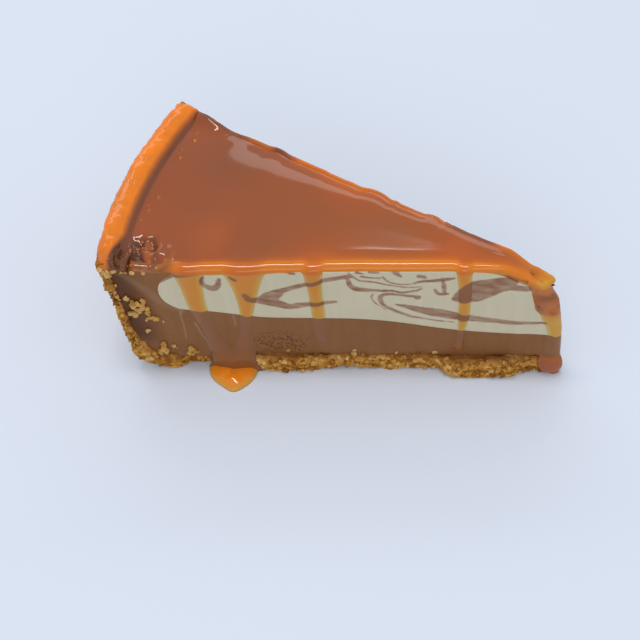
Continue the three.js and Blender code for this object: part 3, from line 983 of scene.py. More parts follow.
@dataclass
class ChocolateLayer:
    """The chocolate filling, from the base up to the seam and round the vanilla's outer end."""

    finish: ChocolateFinish
    wedge: Wedge = WEDGE
    sunk: float = 0.9
    over_wall: float = 2.1
    cells: tuple[int, int, int] = (380, 16, 40)
    pores_at: tuple[float, float] = (80.0, 12.5)
    pores_reach: tuple[float, float] = (9.0, 5.0)

    def sections(self) -> np.ndarray:
        """The layer's section.

        Returns:
            Stations of the layer: r and z of its underside, then of its upper side.
        """
        wedge = self.wedge
        r = np.linspace(0, wedge.straight_to, 15)
        straight = np.stack([r, 0 * r + wedge.base_thick - self.sunk, r, wedge.seam(r)], -1)
        angle = np.linspace(-math.pi / 2, math.pi / 2, 10)
        upper = np.stack([wedge.end_r + wedge.end_long * np.cos(angle),
                          wedge.end_z + wedge.end_tall * np.sin(angle)], -1)
        turn = np.linspace(0, math.pi / 2, 4)
        height = wedge.base_thick + wedge.fillet
        foot = wedge.wall_inner(height) - wedge.fillet
        radius = wedge.fillet + self.sunk
        corner = np.stack([foot + radius * np.sin(turn), height - radius * np.cos(turn)], -1)
        rise = np.linspace(19, wedge.filling_top + 0.6, 5)
        wall = np.stack([wedge.wall_inner(rise) + self.over_wall, rise], -1)
        lower = np.vstack([[[foot - 5, wedge.base_thick - self.sunk]], corner, wall])
        return smooth_line(np.vstack([straight, np.hstack([lower, upper])]), 10)

    def build(self) -> None:
        """The layer's skin: its section carried across the wedge, with smears and pores."""
        columns, rows, layers = self.cells
        stations = evenly(self.sections(), columns)
        skin, r, z, faces = band_skin(stations, crowded(rows), np.linspace(0, 1, layers))
        v = skin[:, 1]
        z = np.minimum(z, self.wedge.filling(r) - 0.1 + 0.7 * ease(108, 112, r))
        points = self.wedge.place(r, v, z, self.wedge.relief(r, z, v))
        near = (v < 0).astype(float)
        flat = np.stack([r, 9 * np.sign(v), z], -1)
        edge = self.wedge.wall_inner(z) + self.over_wall - r + 1.2 * noise(flat, 5, 57)
        baked = 0.95 * (1 - ease(1, 11, edge)) * ease(6, 18, z)
        values = {"porous": self.porous(r, z) * near, "pale": self.pale(r, z) * near, "baked": baked}
        put_piece("chocolate_filling", Skin(points, faces, values), self.finish, Part.CHOCOLATE)

    def porous(self, r: np.ndarray, z: np.ndarray) -> np.ndarray:
        """The torn, porous patch low on the near face, fading out from its middle."""
        (at_r, at_z), (long, tall) = self.pores_at, self.pores_reach
        return np.clip(1.35 - ((r - at_r) / long) ** 2 - ((z - at_z) / tall) ** 2, 0, 1)

    def pale(self, r: np.ndarray, z: np.ndarray) -> np.ndarray:
        """The pale smears: distance to their strokes, fading at the edges."""
        soft = 0.27 * (1 - ease(-0.4, 1.7, stroke_distance(r, z, BROAD_SMEARS)))
        return np.maximum(soft, 0.55 * (1 - ease(-0.05, 0.4, stroke_distance(r, z, THIN_SMEARS))))


def stroke_distance(r: np.ndarray, z: np.ndarray, strokes: tuple) -> np.ndarray:
    """Signed distance to a set of brush strokes.

    Args:
        r, z: Where to measure, on a cut face.
        strokes: Lines of (r, z, half width) stops.

    Returns:
        The least, over all stretches of all strokes, of the distance to the stretch less
        the stroke's half width there; it is below nothing inside a stroke.
    """
    where = np.stack([r, z], -1)
    far = 3.0
    best = np.full(len(r), far)
    for stroke in strokes:
        line = smooth_line(stroke, 5)
        step = np.diff(line, axis=0)
        low, high = line[:, :2].min(0) - far, line[:, :2].max(0) + far
        close = np.all((where > low) & (where < high), axis=-1)
        offset = where[close][:, None] - line[None, :-1, :2]
        t = np.clip((offset * step[:, :2]).sum(-1) / ((step[:, :2] ** 2).sum(-1) + 1e-9), 0, 1)
        away = np.linalg.norm(offset - t[..., None] * step[:, :2], axis=-1)
        best[close] = np.minimum(best[close], (away - line[:-1, 2] - t * step[:, 2]).min(1))
    return best


def line_distance(points: np.ndarray, ends: tuple) -> np.ndarray:
    """Distance, seen from above, to the straight line between two places.

    Args:
        points: Where to measure, the last axis holding x, y, z.
        ends: x and y of the line's two ends.

    Returns:
        The distance to the line's nearest point.
    """
    start, end = np.array(ends, float)
    along = end - start
    offset = points[..., :2] - start
    t = np.clip(offset @ along / (along @ along), 0, 1)
    return np.linalg.norm(offset - t[..., None] * along, axis=-1)


# Marbling on the near face, as strokes of (distance from the tip, height, half width).
SWIRLS = (
    ((98.0, 42.4, 0.5), (98.6, 40.6, 0.6), (98.2, 38.9, 0.8), (96.2, 37.2, 1.2), (94.6, 38.4, 0.9),
     (94.1, 40.2, 0.6), (93.9, 41.6, 0.4)),
    ((57.6, 42.4, 0.8), (65.4, 40.6, 0.8), (71.7, 38.4, 0.8), (76.6, 36.2, 1.1), (80.0, 33.8, 2.2),
     (82.4, 32.6, 1.7)),
    ((87.2, 34.9, 0.8), (86.2, 32.8, 1.0), (83.3, 31.5, 1.3), (79.2, 30.6, 1.7), (75.9, 29.0, 1.2),
     (72.6, 29.6, 0.95), (68.1, 30.4, 0.85), (62.4, 31.1, 0.5)),
    ((59.8, 42.4, 0.4), (58.5, 40.8, 0.55), (57.8, 38.3, 0.8), (56.0, 36.8, 0.95), (52.0, 36.3, 0.6),
     (47.6, 36.2, 0.4), (43.6, 35.5, 0.45), (40.5, 36.2, 0.35), (38.7, 37.1, 0.25)),
    ((58.1, 43.8, 0.3), (56.7, 41.8, 0.32), (55.3, 40.5, 0.32), (52.5, 40.2, 0.28), (49.8, 39.4, 0.28),
     (46.2, 38.2, 0.25), (42.2, 37.7, 0.25), (38.7, 37.9, 0.15)),
    ((48.9, 42.0, 0.3), (47.4, 40.0, 0.28), (44.5, 38.9, 0.25), (41.3, 39.2, 0.15)),
    ((46.0, 45.2, 0.9), (45.2, 43.6, 0.75), (44.0, 42.3, 0.4)),
    ((55.8, 44.0, 0.45), (54.3, 43.4, 0.3)),
    ((52.3, 44.2, 0.4), (50.0, 43.9, 0.35)),
    ((54.8, 42.2, 0.35), (52.0, 41.8, 0.3), (49.6, 41.5, 0.25)),
    ((38.9, 42.3, 0.75), (37.5, 41.9, 0.6)),
    ((40.5, 39.4, 0.35), (37.8, 40.2, 0.5), (34.2, 40.5, 0.6), (31.5, 41.1, 0.6), (29.6, 41.4, 0.4)),
    ((32.7, 41.2, 0.55), (32.4, 37.8, 0.6), (32.7, 34.9, 0.45)),
    ((34.9, 36.6, 0.35), (34.0, 34.8, 0.6), (31.8, 34.7, 0.45)),
    ((39.8, 33.3, 0.95), (40.6, 33.7, 0.6), (44.0, 34.2, 0.45), (47.6, 34.6, 0.5), (49.6, 33.8, 0.65),
     (50.0, 32.0, 0.7), (49.1, 29.6, 0.6), (46.7, 27.5, 0.45), (43.1, 25.1, 0.4), (38.7, 23.5, 0.3)),
    ((51.8, 34.9, 0.2), (52.4, 33.1, 0.25), (51.4, 30.5, 0.15), (48.6, 27.6, 0.1)),
    ((45.6, 30.0, 0.3), (42.2, 28.9, 0.9), (38.7, 27.4, 1.5), (33.3, 25.9, 1.75), (27.5, 24.2, 1.45),
     (20.8, 22.7, 1.1), (14.1, 21.8, 0.9), (7.9, 21.5, 0.6), (3.6, 21.4, 0.45)),
    ((47.6, 28.9, 0.12), (44.5, 26.4, 0.2), (40.5, 24.3, 0.25), (34.2, 22.6, 0.25), (29.8, 21.8, 0.15)),
    ((29.6, 32.4, 0.9), (26.6, 33.8, 2.9), (23.2, 36.2, 4.2), (18.8, 38.2, 3.4), (14.4, 40.0, 2.2)),
    ((24.0, 33.8, 2.6), (20.0, 34.4, 1.3), (16.6, 36.2, 0.7), (14.0, 36.9, 0.3)),
    ((17.6, 38.4, 1.6), (13.2, 37.6, 1.3), (9.6, 37.2, 1.2), (7.4, 38.6, 0.7)),
    ((6.6, 39.5, 1.6), (5.2, 36.5, 1.8), (3.8, 32.5, 2.0), (2.4, 28.5, 1.6), (1.4, 26.6, 0.8)),
    ((111.4, 40.8, 1.2), (109.0, 42.6, 1.5), (105.6, 43.6, 1.1), (101.0, 44.4, 0.7), (94.0, 44.6, 0.5)),
    ((74.4, 43.9, 0.5), (73.0, 43.6, 0.3)),
    ((90.6, 42.6, 0.5), (89.6, 41.6, 0.6), (89.0, 41.4, 0.3)),
)

# Marbling that runs on to the far face, where the photograph doesn't reach.
FAR_SWIRLS = (
    ((104.0, 38.0, 0.5), (97.0, 35.5, 1.2), (89.0, 35.0, 1.6), (82.0, 37.4, 1.0), (76.0, 40.0, 0.7),
     (69.0, 41.2, 0.5)),
    ((92.0, 31.6, 0.4), (85.0, 30.6, 0.9), (77.0, 31.8, 1.4), (70.0, 34.4, 1.0), (64.0, 35.2, 0.5),
     (58.0, 33.6, 0.4)),
    ((63.0, 39.4, 0.4), (57.0, 37.6, 0.8), (50.0, 36.9, 1.1), (44.0, 38.2, 0.7), (40.0, 40.8, 0.4)),
    ((55.0, 32.0, 0.25), (48.0, 33.2, 0.4), (42.0, 31.4, 0.5), (41.6, 28.4, 0.5), (46.0, 27.0, 0.3)),
    ((52.0, 28.2, 0.3), (44.0, 25.4, 1.0), (36.0, 24.0, 1.4), (27.0, 22.8, 1.1), (17.0, 21.6, 0.7),
     (6.0, 20.8, 0.4)),
    ((36.0, 34.0, 1.0), (31.0, 36.4, 2.0), (24.0, 37.2, 2.8), (17.0, 37.4, 2.2), (11.0, 36.0, 1.2)),
    ((34.0, 41.0, 0.4), (32.6, 37.0, 0.6), (33.0, 31.4, 0.3)),
)

# The marbling stands this much higher for each millimetre that the blunt tip stands out of the flat cut.
MARBLE_LIFT = 1.31


@dataclass
class VanillaLayer:
    """The vanilla filling, marbled with chocolate, from the tip to its round outer end."""

    finish: VanillaFinish
    wedge: Wedge = WEDGE
    proud: float = 0.04
    lap: float = 0.12
    cells: tuple[int, int, int] = (430, 16, 72)

    def sections(self) -> np.ndarray:
        """The layer's section.

        Returns:
            Stations of the layer: r and z of its underside, then of its top.
        """
        wedge = self.wedge
        r = np.linspace(0, wedge.straight_to, 15)
        straight = np.stack([r, wedge.seam(r) - self.lap, r, wedge.filling(r)], -1)
        turns = np.array([0.08, 0.18, 0.3, 0.4, 0.47])
        low, high = math.pi * (turns - 0.5), math.pi * (0.5 - turns)
        long, tall = wedge.end_long + self.lap, wedge.end_tall + self.lap
        curved = np.stack([wedge.end_r + long * np.cos(low), wedge.end_z + tall * np.sin(low),
                           wedge.end_r + long * np.cos(high), wedge.end_z + tall * np.sin(high)], -1)
        return smooth_line(np.vstack([straight, curved]), 10)

    def build(self) -> None:
        """The layer's skin, with the marbling's distance at each point."""
        columns, rows, layers = self.cells
        stations = evenly(self.sections(), columns)
        skin, r, z, faces = band_skin(stations, crowded(rows), np.linspace(0, 1, layers))
        v = skin[:, 1]
        points = self.wedge.place(r, v, z, self.wedge.relief(r, z, v) + self.proud)
        marble, strength = marbling(r + self.wedge.lean(r, z), z, v)
        values = {"marble": marble, "strength": strength}
        put_piece("vanilla_filling", Skin(points, faces, values), self.finish, Part.VANILLA)


def marbling(reach: np.ndarray, z: np.ndarray, v: np.ndarray) -> tuple[np.ndarray, np.ndarray]:
    """The marbling on both cut faces.

    Args:
        reach: Distance from the tip.
        z: Height.
        v: Which face, by its sign.

    Returns:
        The strokes' signed distance, its edges stirred by noise, and how brown they are.
    """
    flat = np.stack([reach, 40 * np.sign(v), z], -1)
    across = reach + 0.35 * noise(flat, 3.2, 61)
    blunt = WEDGE.half_width(reach) - (reach - WEDGE.tip_beyond) * math.sin(WEDGE.half_angle)
    height = z - MARBLE_LIFT * blunt + 0.22 * noise(flat, 2.6, 62)
    distance = np.where(v <= 0, stroke_distance(across, height, SWIRLS),
                        stroke_distance(across, height, FAR_SWIRLS))
    streaks = noise(np.stack([reach + 1.4 * z, 40 * np.sign(v), 3 * z - 0.8 * reach], -1), 3.0, 63)
    return distance, 0.84 + 0.26 * streaks


@dataclass(frozen=True)
class Run:
    """A run of caramel down a cut face: stops of (r, z, half width, thickness), top to foot."""

    side: Side
    stops: tuple[tuple[float, float, float, float], ...]

    def thickness(self, r: np.ndarray, z: np.ndarray) -> np.ndarray:
        """How thick the run is over its cut face.

        Args:
            r, z: Section coordinates.

        Returns:
            A rounded profile across the run, thick * (1 - q^2), closed by a round foot.
        """
        line = smooth_line(self.stops, 10)[::-1]
        middle, half, thick = (np.interp(z, line[:, 1], line[:, n]) for n in (0, 2, 3))
        q = (r - middle) / half
        foot = self.stops[-1][1]
        end = np.clip((z - foot) / self.stops[-1][2] + 0.2, 0, 1) if foot > 2 else np.ones_like(z)
        body = thick * np.maximum(0, 1 - q * q) * np.sqrt(1 - (1 - end) ** 2)
        return np.where(z < line[-1, 1] + 1, body, 0)


RUNS = (
    Run(Side.NEAR, ((102.4, 45.4, 5.0, 0.9), (102.1, 38, 3.8, 0.85), (101.6, 28, 3.0, 0.8),
                    (99.6, 18, 2.5, 0.6), (97.8, 10, 3, 0.8), (95.2, 0, 5, 1.6))),
    Run(Side.NEAR, ((86.7, 45.4, 7.0, 1.1), (87, 38, 4.6, 0.9), (87.8, 29, 2.7, 0.8), (89, 20, 2.0, 0.6),
                    (90.4, 12, 2.8, 0.8), (92.6, 0, 5.4, 1.6))),
    Run(Side.NEAR, ((67.9, 45.4, 3.2, 1.0), (67.9, 36, 2.4, 0.75), (67.8, 26, 2.4, 0.6),
                    (67.8, 12, 1.8, 0.3))),
    Run(Side.NEAR, ((26, 45, 3.2, 0.9), (26.3, 36, 2.4, 0.7), (27.2, 24, 1.9, 0.7), (28.2, 16, 1.1, 0.45),
                    (28.6, 9.4, 1.7, 1.1))),
    Run(Side.FAR, ((40, 45.4, 3.4, 1.0), (40.6, 32, 2, 0.8), (41, 19, 1.7, 1.2))),
    Run(Side.FAR, ((58.6, 45.4, 5, 1.1), (57.6, 34, 2.4, 0.8), (57.2, 20, 1.9, 0.7), (57.6, 9, 2, 1.2))),
    Run(Side.FAR, ((92, 45.4, 4, 1.0), (92.3, 36, 2.3, 0.8), (92, 29, 1.9, 1.2))),
)


@dataclass
class CaramelGlaze:
    """The poured caramel: pool, edge, lip and the runs down the cut faces, in one closed sheet."""

    finish: CaramelFinish
    wedge: Wedge = WEDGE
    rim_end: float = 120.4
    side_columns: int = 252
    nose_columns: int = 17
    side_rows: int = 112
    shoulder_rows: int = 11
    pool_rows: int = 59
    backing: float = 0.28
    hidden: float = -0.1
    bare: float = 0.14
    blend: float = 2.4
    shoulder_wide: float = 2.6
    shoulder_tall: float = 1.9
    meeting: float = 5.0
    lip_z: float = 40.2
    marbling_top: float = 43.9
    glow_fade: float = 0.8
    edge_stops: tuple = ((0.0, 39.7), (4.0, 40.7), (7.5, 41.6), (10.0, 42.4), (13.0, 43.2), (17.3, 43.7),
                         (25.8, 43.7), (36.5, 44.2), (65.0, 44.1), (84.7, 42.9), (100.7, 42.2), (108.0, 43.6),
                         (122.0, 44.6))
    edge_fade: float = 2.9
    far_heap: float = 2.3
    far_nubs: tuple = ((36.0, 0.8, 1.3), (52.0, 0.8, 1.0), (33.6, 1.6, 0.5), (76.0, 2.0, 0.3))
    far_orange: tuple = ((54.0, 60.0, 84.0, 90.0, 1.0), (92.0, 95.0, 101.0, 105.0, 0.6))

    def edge_film(self, r: np.ndarray, z: np.ndarray, v: np.ndarray) -> np.ndarray:
        """The pool's overhanging edge, which thins out downwards to an uneven line.

        Args:
            r, z, v: Section coordinates.

        Returns:
            How thick it is, and below its line a number under 0.
        """
        stops = np.array(self.edge_stops)
        flat = np.stack([r, 50 * np.sign(v), 0 * r], -1)
        line = np.interp(r, stops[:, 0], stops[:, 1])
        line = line + 0.35 * noise(flat, 6.0, 71) + 0.25 * noise(flat, 2.4, 72)
        opened = (z - line) / self.edge_fade
        torn = 1 + 1.1 * noise(np.stack([r, 0.6 * z, 3 * v], -1), 1.7, 65) * ease(103, 108, r)
        thick = (0.85 - 0.5 * ease(102, 109, r) - 0.2 * (v > 0)) * (0.2 + 0.8 * ease(2, 18, r)) * torn
        nubs = sum(tall * np.exp(-(((r - at) / wide) ** 2)) for at, wide, tall in self.far_nubs)
        thinning = (thick + nubs * (v > 0)) * np.clip(opened, 0, 1) ** 1.25
        return np.where(opened > 0, thinning, opened)

    def tip_film(self, r: np.ndarray, z: np.ndarray, v: np.ndarray) -> np.ndarray:
        """The caramel round the tip: a lump under the lip, a run down the corner and a bead at its foot.

        Args:
            r, z, v: Section coordinates.

        Returns:
            How thick it is: read off by height, closed by a square root towards its edge, and
            over that the bead, an oval's height to the power 0.7.
        """
        heights = (0, 8, 14, 20, 24, 29, 35, 38, 41)
        near = np.interp(z, heights, (5.6, 4.2, 3.4, 3.7, 4.3, 6.0, 5.9, 5.6, 5.2))
        far = np.interp(z, heights, (2.5, 2.5, 2.0, 2.4, 2.8, 4.6, 5.0, 5.2, 5.2))
        thick = np.interp(z, (0, 10, 24, 28, 33, 36.5, 38, 41), (0.6, 0.35, 0.5, 0.75, 0.95, 0.7, 0.5, 0.4))
        reach = np.where(v < 0, near, far) + 0.4 * noise(np.stack([0 * r, z, 0 * r], -1), 3.0, 80)
        lumps = 1 + 0.6 * noise(np.stack([r + 3 * v, z, 0 * r], -1), 2.8, 74) * ease(26, 29, z)
        run = thick * lumps * np.sqrt(np.clip((reach - r) / 2.4, 0, 1))
        oval = np.clip(1 - ((r - 2.4) / 3.8) ** 2 - ((z - 4.5) / 4.3) ** 2, 0, 1)
        bead = 1.3 * oval**0.7 * (1 - ease(-0.3, 0.6, v))
        return np.maximum(run, 0) + bead

    def lip(self, r: np.ndarray, z: np.ndarray, v: np.ndarray) -> np.ndarray:
        """How far the lip juts past the tip: a thin, torn beak.

        Args:
            r, z, v: Section coordinates.

        Returns:
            Its length, fading away from its height, from the middle line and from the tip.
        """
        torn = noise(np.stack([4 * v, z, 0 * r], -1), 1.1, 76)
        level = np.clip(1 - np.abs((z - self.lip_z) / 1.4) ** 1.4, 0, 1)
        beak = (2.9 + torn) * level * np.maximum(0, 1 - np.abs(v)) ** 0.9
        return beak * (1 - ease(0, 2.4, r))

    def film(self, r: np.ndarray, z: np.ndarray, v: np.ndarray) -> np.ndarray:
        """Thickness of all the caramel on a side.

        Args:
            r, z, v: Section coordinates.

        Returns:
            The edge, the tip, the lip, the runs and the foot of two of them, blended by a power
            sum, less a little, so that it is below 0 where the side is bare.
        """
        parts = [self.edge_film(r, z, v), self.tip_film(r, z, v), self.lip(r, z, v)]
        parts += [np.where(np.sign(v) == run.side.value, run.thickness(r, z), 0) for run in RUNS]
        foot = 1.9 * np.maximum(0, 1 - z / 3.2) ** 2 * ease(86, 89, r) * (1 - ease(99, 102, r)) * (v < 0)
        parts.append(foot)
        positive = sum(np.maximum(0, part) ** self.blend for part in parts) ** (1 / self.blend)
        return positive - self.bare

    def columns(self) -> tuple[np.ndarray, np.ndarray]:
        """Where the sheet's columns stand.

        Returns:
            r and v of each, round the slice from the rim's near end to its far end.
        """
        side = np.linspace(self.rim_end, 0, self.side_columns)
        side = side[0] * (1 - (1 - side / side[0]) ** 0.97)
        nose = np.sin(np.linspace(-math.pi / 2, math.pi / 2, self.nose_columns + 2)[1:-1])
        r = np.concatenate([side, 0 * nose, side[::-1]])
        v = np.concatenate([-np.ones(len(side)), nose, np.ones(len(side))])
        return r, v

    def crust_out(self, r: np.ndarray, z: np.ndarray, v: np.ndarray) -> np.ndarray:
        """How far the crumb base holds the caramel out from the face."""
        near = np.maximum(self.wedge.broken_edge(r), 0) * (v < 0)
        return (near + 0.75) * (1 - ease(5.2, 8.6, z)) * ease(6, 12, r)

    def build(self) -> None:
        """The sheet: rows climb each side, turn over the shoulder and meet along the middle."""
        r, v = self.columns()
        far = ease(-0.5, 0.5, v)
        heap = self.far_heap * ease(107, 118.5, r) * far
        along = np.stack([r, 0 * r, 0 * r], -1)
        sunk = (0.9 + 0.7 * noise(along, 2.1, 64)) * ease(105, 112, r) * (1 - far)
        top = self.wedge.pool(r) - 0.25 + heap - sunk
        tall = self.shoulder_tall * (0.6 + 0.4 * ease(0, 14, r)) * (1 - 0.35 * far)
        start = top - tall
        z = np.linspace(0, 1, self.side_rows)[:, None] * start
        side_r, side_v = np.broadcast_arrays(r, v, z)[:2]
        film = self.film(side_r, z, side_v)
        held = self.wedge.relief(side_r, z, side_v) + self.crust_out(side_r, z, side_v)
        wide = self.shoulder_wide * (0.35 + 0.65 * ease(0, 40, r)) * (1 - 0.5 * far)
        turn = np.linspace(0, math.pi / 2, self.shoulder_rows + 1)[1:, None]
        behind = np.broadcast_to(held[-1] - self.backing - 0.3, (self.shoulder_rows, len(r)))
        below = np.broadcast_to(np.minimum(start, self.wedge.filling(r) - 0.3), behind.shape)
        out = np.vstack([held + film, (held + film)[-1] - wide * (1 - np.cos(turn))])
        back, back_z = np.vstack([held - self.backing, behind]), np.vstack([z, below])
        z = np.vstack([z, start + tall * np.sin(turn)])
        cos_nose = np.sqrt(np.maximum(0, 1 - v * v))
        points = self.carry(r, v, z, out, cos_nose)
        backs = self.carry(r, v, back_z, back, cos_nose)
        inwards = np.linspace(0, 1, self.pool_rows + 1)[1:, None] ** 1.4
        goal = np.maximum(r, self.meeting)
        across_r = r + (goal - r) * inwards
        shrink = 1 - inwards
        edge_out = out[-1]
        inset = self.wedge.half_width(across_r) * inwards
        flat = np.stack([across_r, 20 * v * shrink, 0 * across_r], -1)
        outer = ease(0, 0.3, shrink)
        sag = self.far_sag(across_r, inset) * (v > 0) * outer
        level = self.wedge.pool(r) + 0.04 * noise(flat, 16, 73) * ease(0, 0.5, inwards) - sag
        level = level + (heap - sunk - 0.25) * np.exp(-((inset / 2.2) ** 2)) * outer
        crumbling = ease(104, 109, across_r) * np.exp(-inset / 4.0) * ease(0, 0.5, inset) * (v < 0) * outer
        level = level + 0.7 * crumbling * noise(flat, 1.5, 66)
        pocket = self.hollow(across_r, inset, v) * (0.9 + 1.1 * noise(flat, 1.6, 77))
        level = level - pocket * ease(0, 0.8, inset)
        over_r = across_r - np.where(np.abs(v) < 1, edge_out * cos_nose * shrink, 0)
        top_points = self.wedge.place(over_r, v * shrink, level, edge_out)
        under_points = self.wedge.place(over_r, v * shrink, self.wedge.filling(across_r) - 0.3, back[-1])
        points = np.concatenate([points, top_points])
        backs = np.concatenate([backs, under_points])
        depth = np.maximum(np.vstack([film, np.repeat(film[-1:], self.shoulder_rows, 0)]), 0)
        side = self.side_values(np.broadcast_to(r, z.shape), z, np.broadcast_to(v, z.shape), depth)
        top = self.top_values(top_points, across_r, inset, v + 0 * inset, side)
        values = {key: np.vstack([side[key], top[key]]) for key in side}
        sheet = self.closed(points, backs, self.kept_cells(film, len(points) - 1), values)
        put_piece("caramel_glaze", sheet, self.finish, Part.CARAMEL)

    def far_sag(self, r: np.ndarray, inset: np.ndarray) -> np.ndarray:
        """How far the pool slopes down to the far cut.

        Args:
            r, inset: Distance from the tip, and in from the cut face.

        Returns:
            A bell over the inset, wider towards the rim.
        """
        wide = 2.0 + 3.5 * ease(45, 100, r)
        lasts = ease(36, 52, r) * (1 - ease(100, 109, r))
        return 0.132 * wide * np.exp(-((inset / wide) ** 2)) * lasts

    def hollow(self, r: np.ndarray, inset: np.ndarray, v: np.ndarray) -> np.ndarray:
        """The sunken, crumby pocket behind the pool's near corner, by the rim."""
        return ease(110.5, 114, r) * (1 - ease(119, 121, r)) * (1 - ease(6, 11, inset)) * (v < 0)

    def carry(self, r: np.ndarray, v: np.ndarray, z: np.ndarray, out: np.ndarray,
              cos_nose: np.ndarray) -> np.ndarray:
        """Side points: moved out along the face, or along the nose's radius where it turns."""
        past = np.where(np.abs(v) < 1, out * cos_nose, 0)
        return self.wedge.place(r - past, v, z, out)

    def kept_cells(self, film: np.ndarray, rows: int) -> np.ndarray:
        """Which cells of the sheet stay.

        Args:
            film: The side's thickness, rows by columns.
            rows: How many rows of cells the whole sheet has.

        Returns:
            True for all of the top, and on a side where caramel shows.
        """
        shows = film > self.hidden
        near = shows[:-1, :-1] | shows[1:, :-1] | shows[1:, 1:] | shows[:-1, 1:]
        keep = np.ones((rows, film.shape[1] - 1), bool)
        keep[: len(near)] = near
        return keep

    def side_values(self, r: np.ndarray, z: np.ndarray, v: np.ndarray, depth: np.ndarray) -> dict:
        """Colour values on the side: the film's depth, whether vanilla lies under, and the edge's glow.

        Args:
            r, z, v: Section coordinates, rows by columns.
            depth: The film's thickness.

        Returns:
            Depth, white and glow. Towards the pool's top, light from behind outshines the marbling.
        """
        reach = r + self.wedge.lean(r, z)
        marble, _ = marbling(reach.ravel(), np.minimum(z, self.marbling_top).ravel(), v.ravel())
        filled = (z > self.wedge.seam(r)) & (reach < self.wedge.vanilla_end(z))
        white = ease(-0.2, 0.3, marble).reshape(r.shape) * filled
        level = z + self.wedge.tip_droop * (1 - ease(0, 16, r))
        by_rim = ease(105, 111, r)
        # Painted light: the top of the edge band, lit through from behind, is painted paler and its glow
        # painted orange, less of it towards the rim.
        lit = ease(43.0, 45.0, level) * (1 - by_rim)
        glow = (0.26 - 0.2 * ease(30, 95, r)) * ease(44.2, 45.8, level) * (1 - by_rim)
        white = white + (0.95 - white) * lit
        flecks = noise(np.stack([r + 4 * v, z, 0 * r], -1), 2.2, 86)
        bits = 0.35 * ease(-0.1, 0.6, noise(np.stack([r + 2 * z, 1.6 * z, 0 * r], -1), 1.3, 69))
        crumby = by_rim * ease(42.6, 44.0, level)
        along = np.stack([r, 60 + 0 * r, 0 * r], -1)
        patch = ease(-0.1, 0.5, noise(along, 13, 79)) * (1 - ease(88, 98, r))
        for start, full, fading, gone, share in self.far_orange:
            patch = np.maximum(patch, share * ease(start, full, r) * (1 - ease(fading, gone, r)))
        far = ease(42.6, 44.4, level) * (v > 0)
        lump = (1 - ease(4.5, 7.5, r)) * ease(26.5, 29, z) * (1 - ease(37.5, 39.3, z))
        bead = (1 - ease(6, 8, r)) * (1 - ease(6.5, 8.5, z))
        amber = (1 - ease(0.5, 6.5, r + 2 * flecks)) * ease(43.4, 45.4, level)
        white = white * (1 - crumby) + bits * crumby
        white = white * (1 - far) + (0.05 + 0.8 * patch) * far
        white = white * (1 - lump) + (0.36 + 0.5 * flecks) * lump
        white = (white * (1 - bead) + 0.3 * bead) * (1 - amber) + amber
        depth = depth + 1.1 * lit + crumby * (1.6 - bits) + far * (1.9 - 1.4 * patch)
        depth = depth + 0.9 * lump + 1.6 * bead
        depth = depth * (1 - amber) + 0.34 * amber
        glow = (glow * (1 - (v > 0)) + 0.4 * far * patch) * (1 - 0.7 * amber) + 0.1 * bead
        return {"depth": np.maximum(depth, 0), "white": np.clip(white, 0, 1), "glow": glow}

    def top_values(self, points: np.ndarray, r: np.ndarray, inset: np.ndarray, v: np.ndarray,
                   side: dict) -> dict:
        """Colour values on the pool: browner and deeper inwards from what its edge has.

        Args:
            points: The pool's points in space.
            r, inset, v: Distance from the tip, distance in from the cut face, and which side.
            side: The side's values, whose last row the pool starts from.

        Returns:
            Depth, white and glow, eased from the edge over a few millimetres, with slow clouds,
            an amber streak, painted glow along the near edge and the dark pocket by the rim.
        """
        slow, slower = noise(points, 17, 75), noise(points, 34, 78)
        near = v <= 0
        inner = 1 - np.exp(-inset / self.glow_fade)
        hollow = self.hollow(r, inset, v)
        tip = 1 - ease(3, 15, r)
        # Painted glow: paler and more orange along the near edge, where light shines through the thin
        # caramel.
        front = np.exp(-inset / 5.0) * near * (1 - ease(85, 104, r))
        depth = 2.7 + 0.3 * slow + 0.4 * ease(60, 112, r) - 1.4 * tip
        white = 0.2 + 0.38 * (1 - ease(40, 105, r)) + 0.36 * slow + 0.26 * slower + 0.05 * tip + 0.22 * front
        glow = 0.02 + 0.26 * np.maximum(0, slow + slower - 0.1) * (1 - ease(85, 110, r)) + 0.05 * tip
        glow = glow + 0.05 * front
        bits = ease(104, 110, r) * near * np.exp(-inset / 3.5) * ease(0, 0.6, noise(points, 1.5, 67))
        white, depth = white * (1 - bits) + 0.7 * bits, depth * (1 - 0.75 * bits)
        streak = line_distance(points, ((-45.6, -31.0), (-48.6, -20.0)))
        amber = 0.5 * (1 - ease(0.0, 1.9, streak + 0.7 * noise(points, 2.6, 68)))
        depth, white, glow = depth + 1.2 * hollow, white * (1 - hollow), glow * (1 - hollow)
        aims = {"depth": depth * (1 - amber) + 0.5 * amber, "white": white * (1 - amber) + amber,
                "glow": glow * (1 - amber)}
        return {key: np.clip(side[key][-1] + (aims[key] - side[key][-1]) * np.maximum(inner, hollow), 0, 4)
                for key in aims}

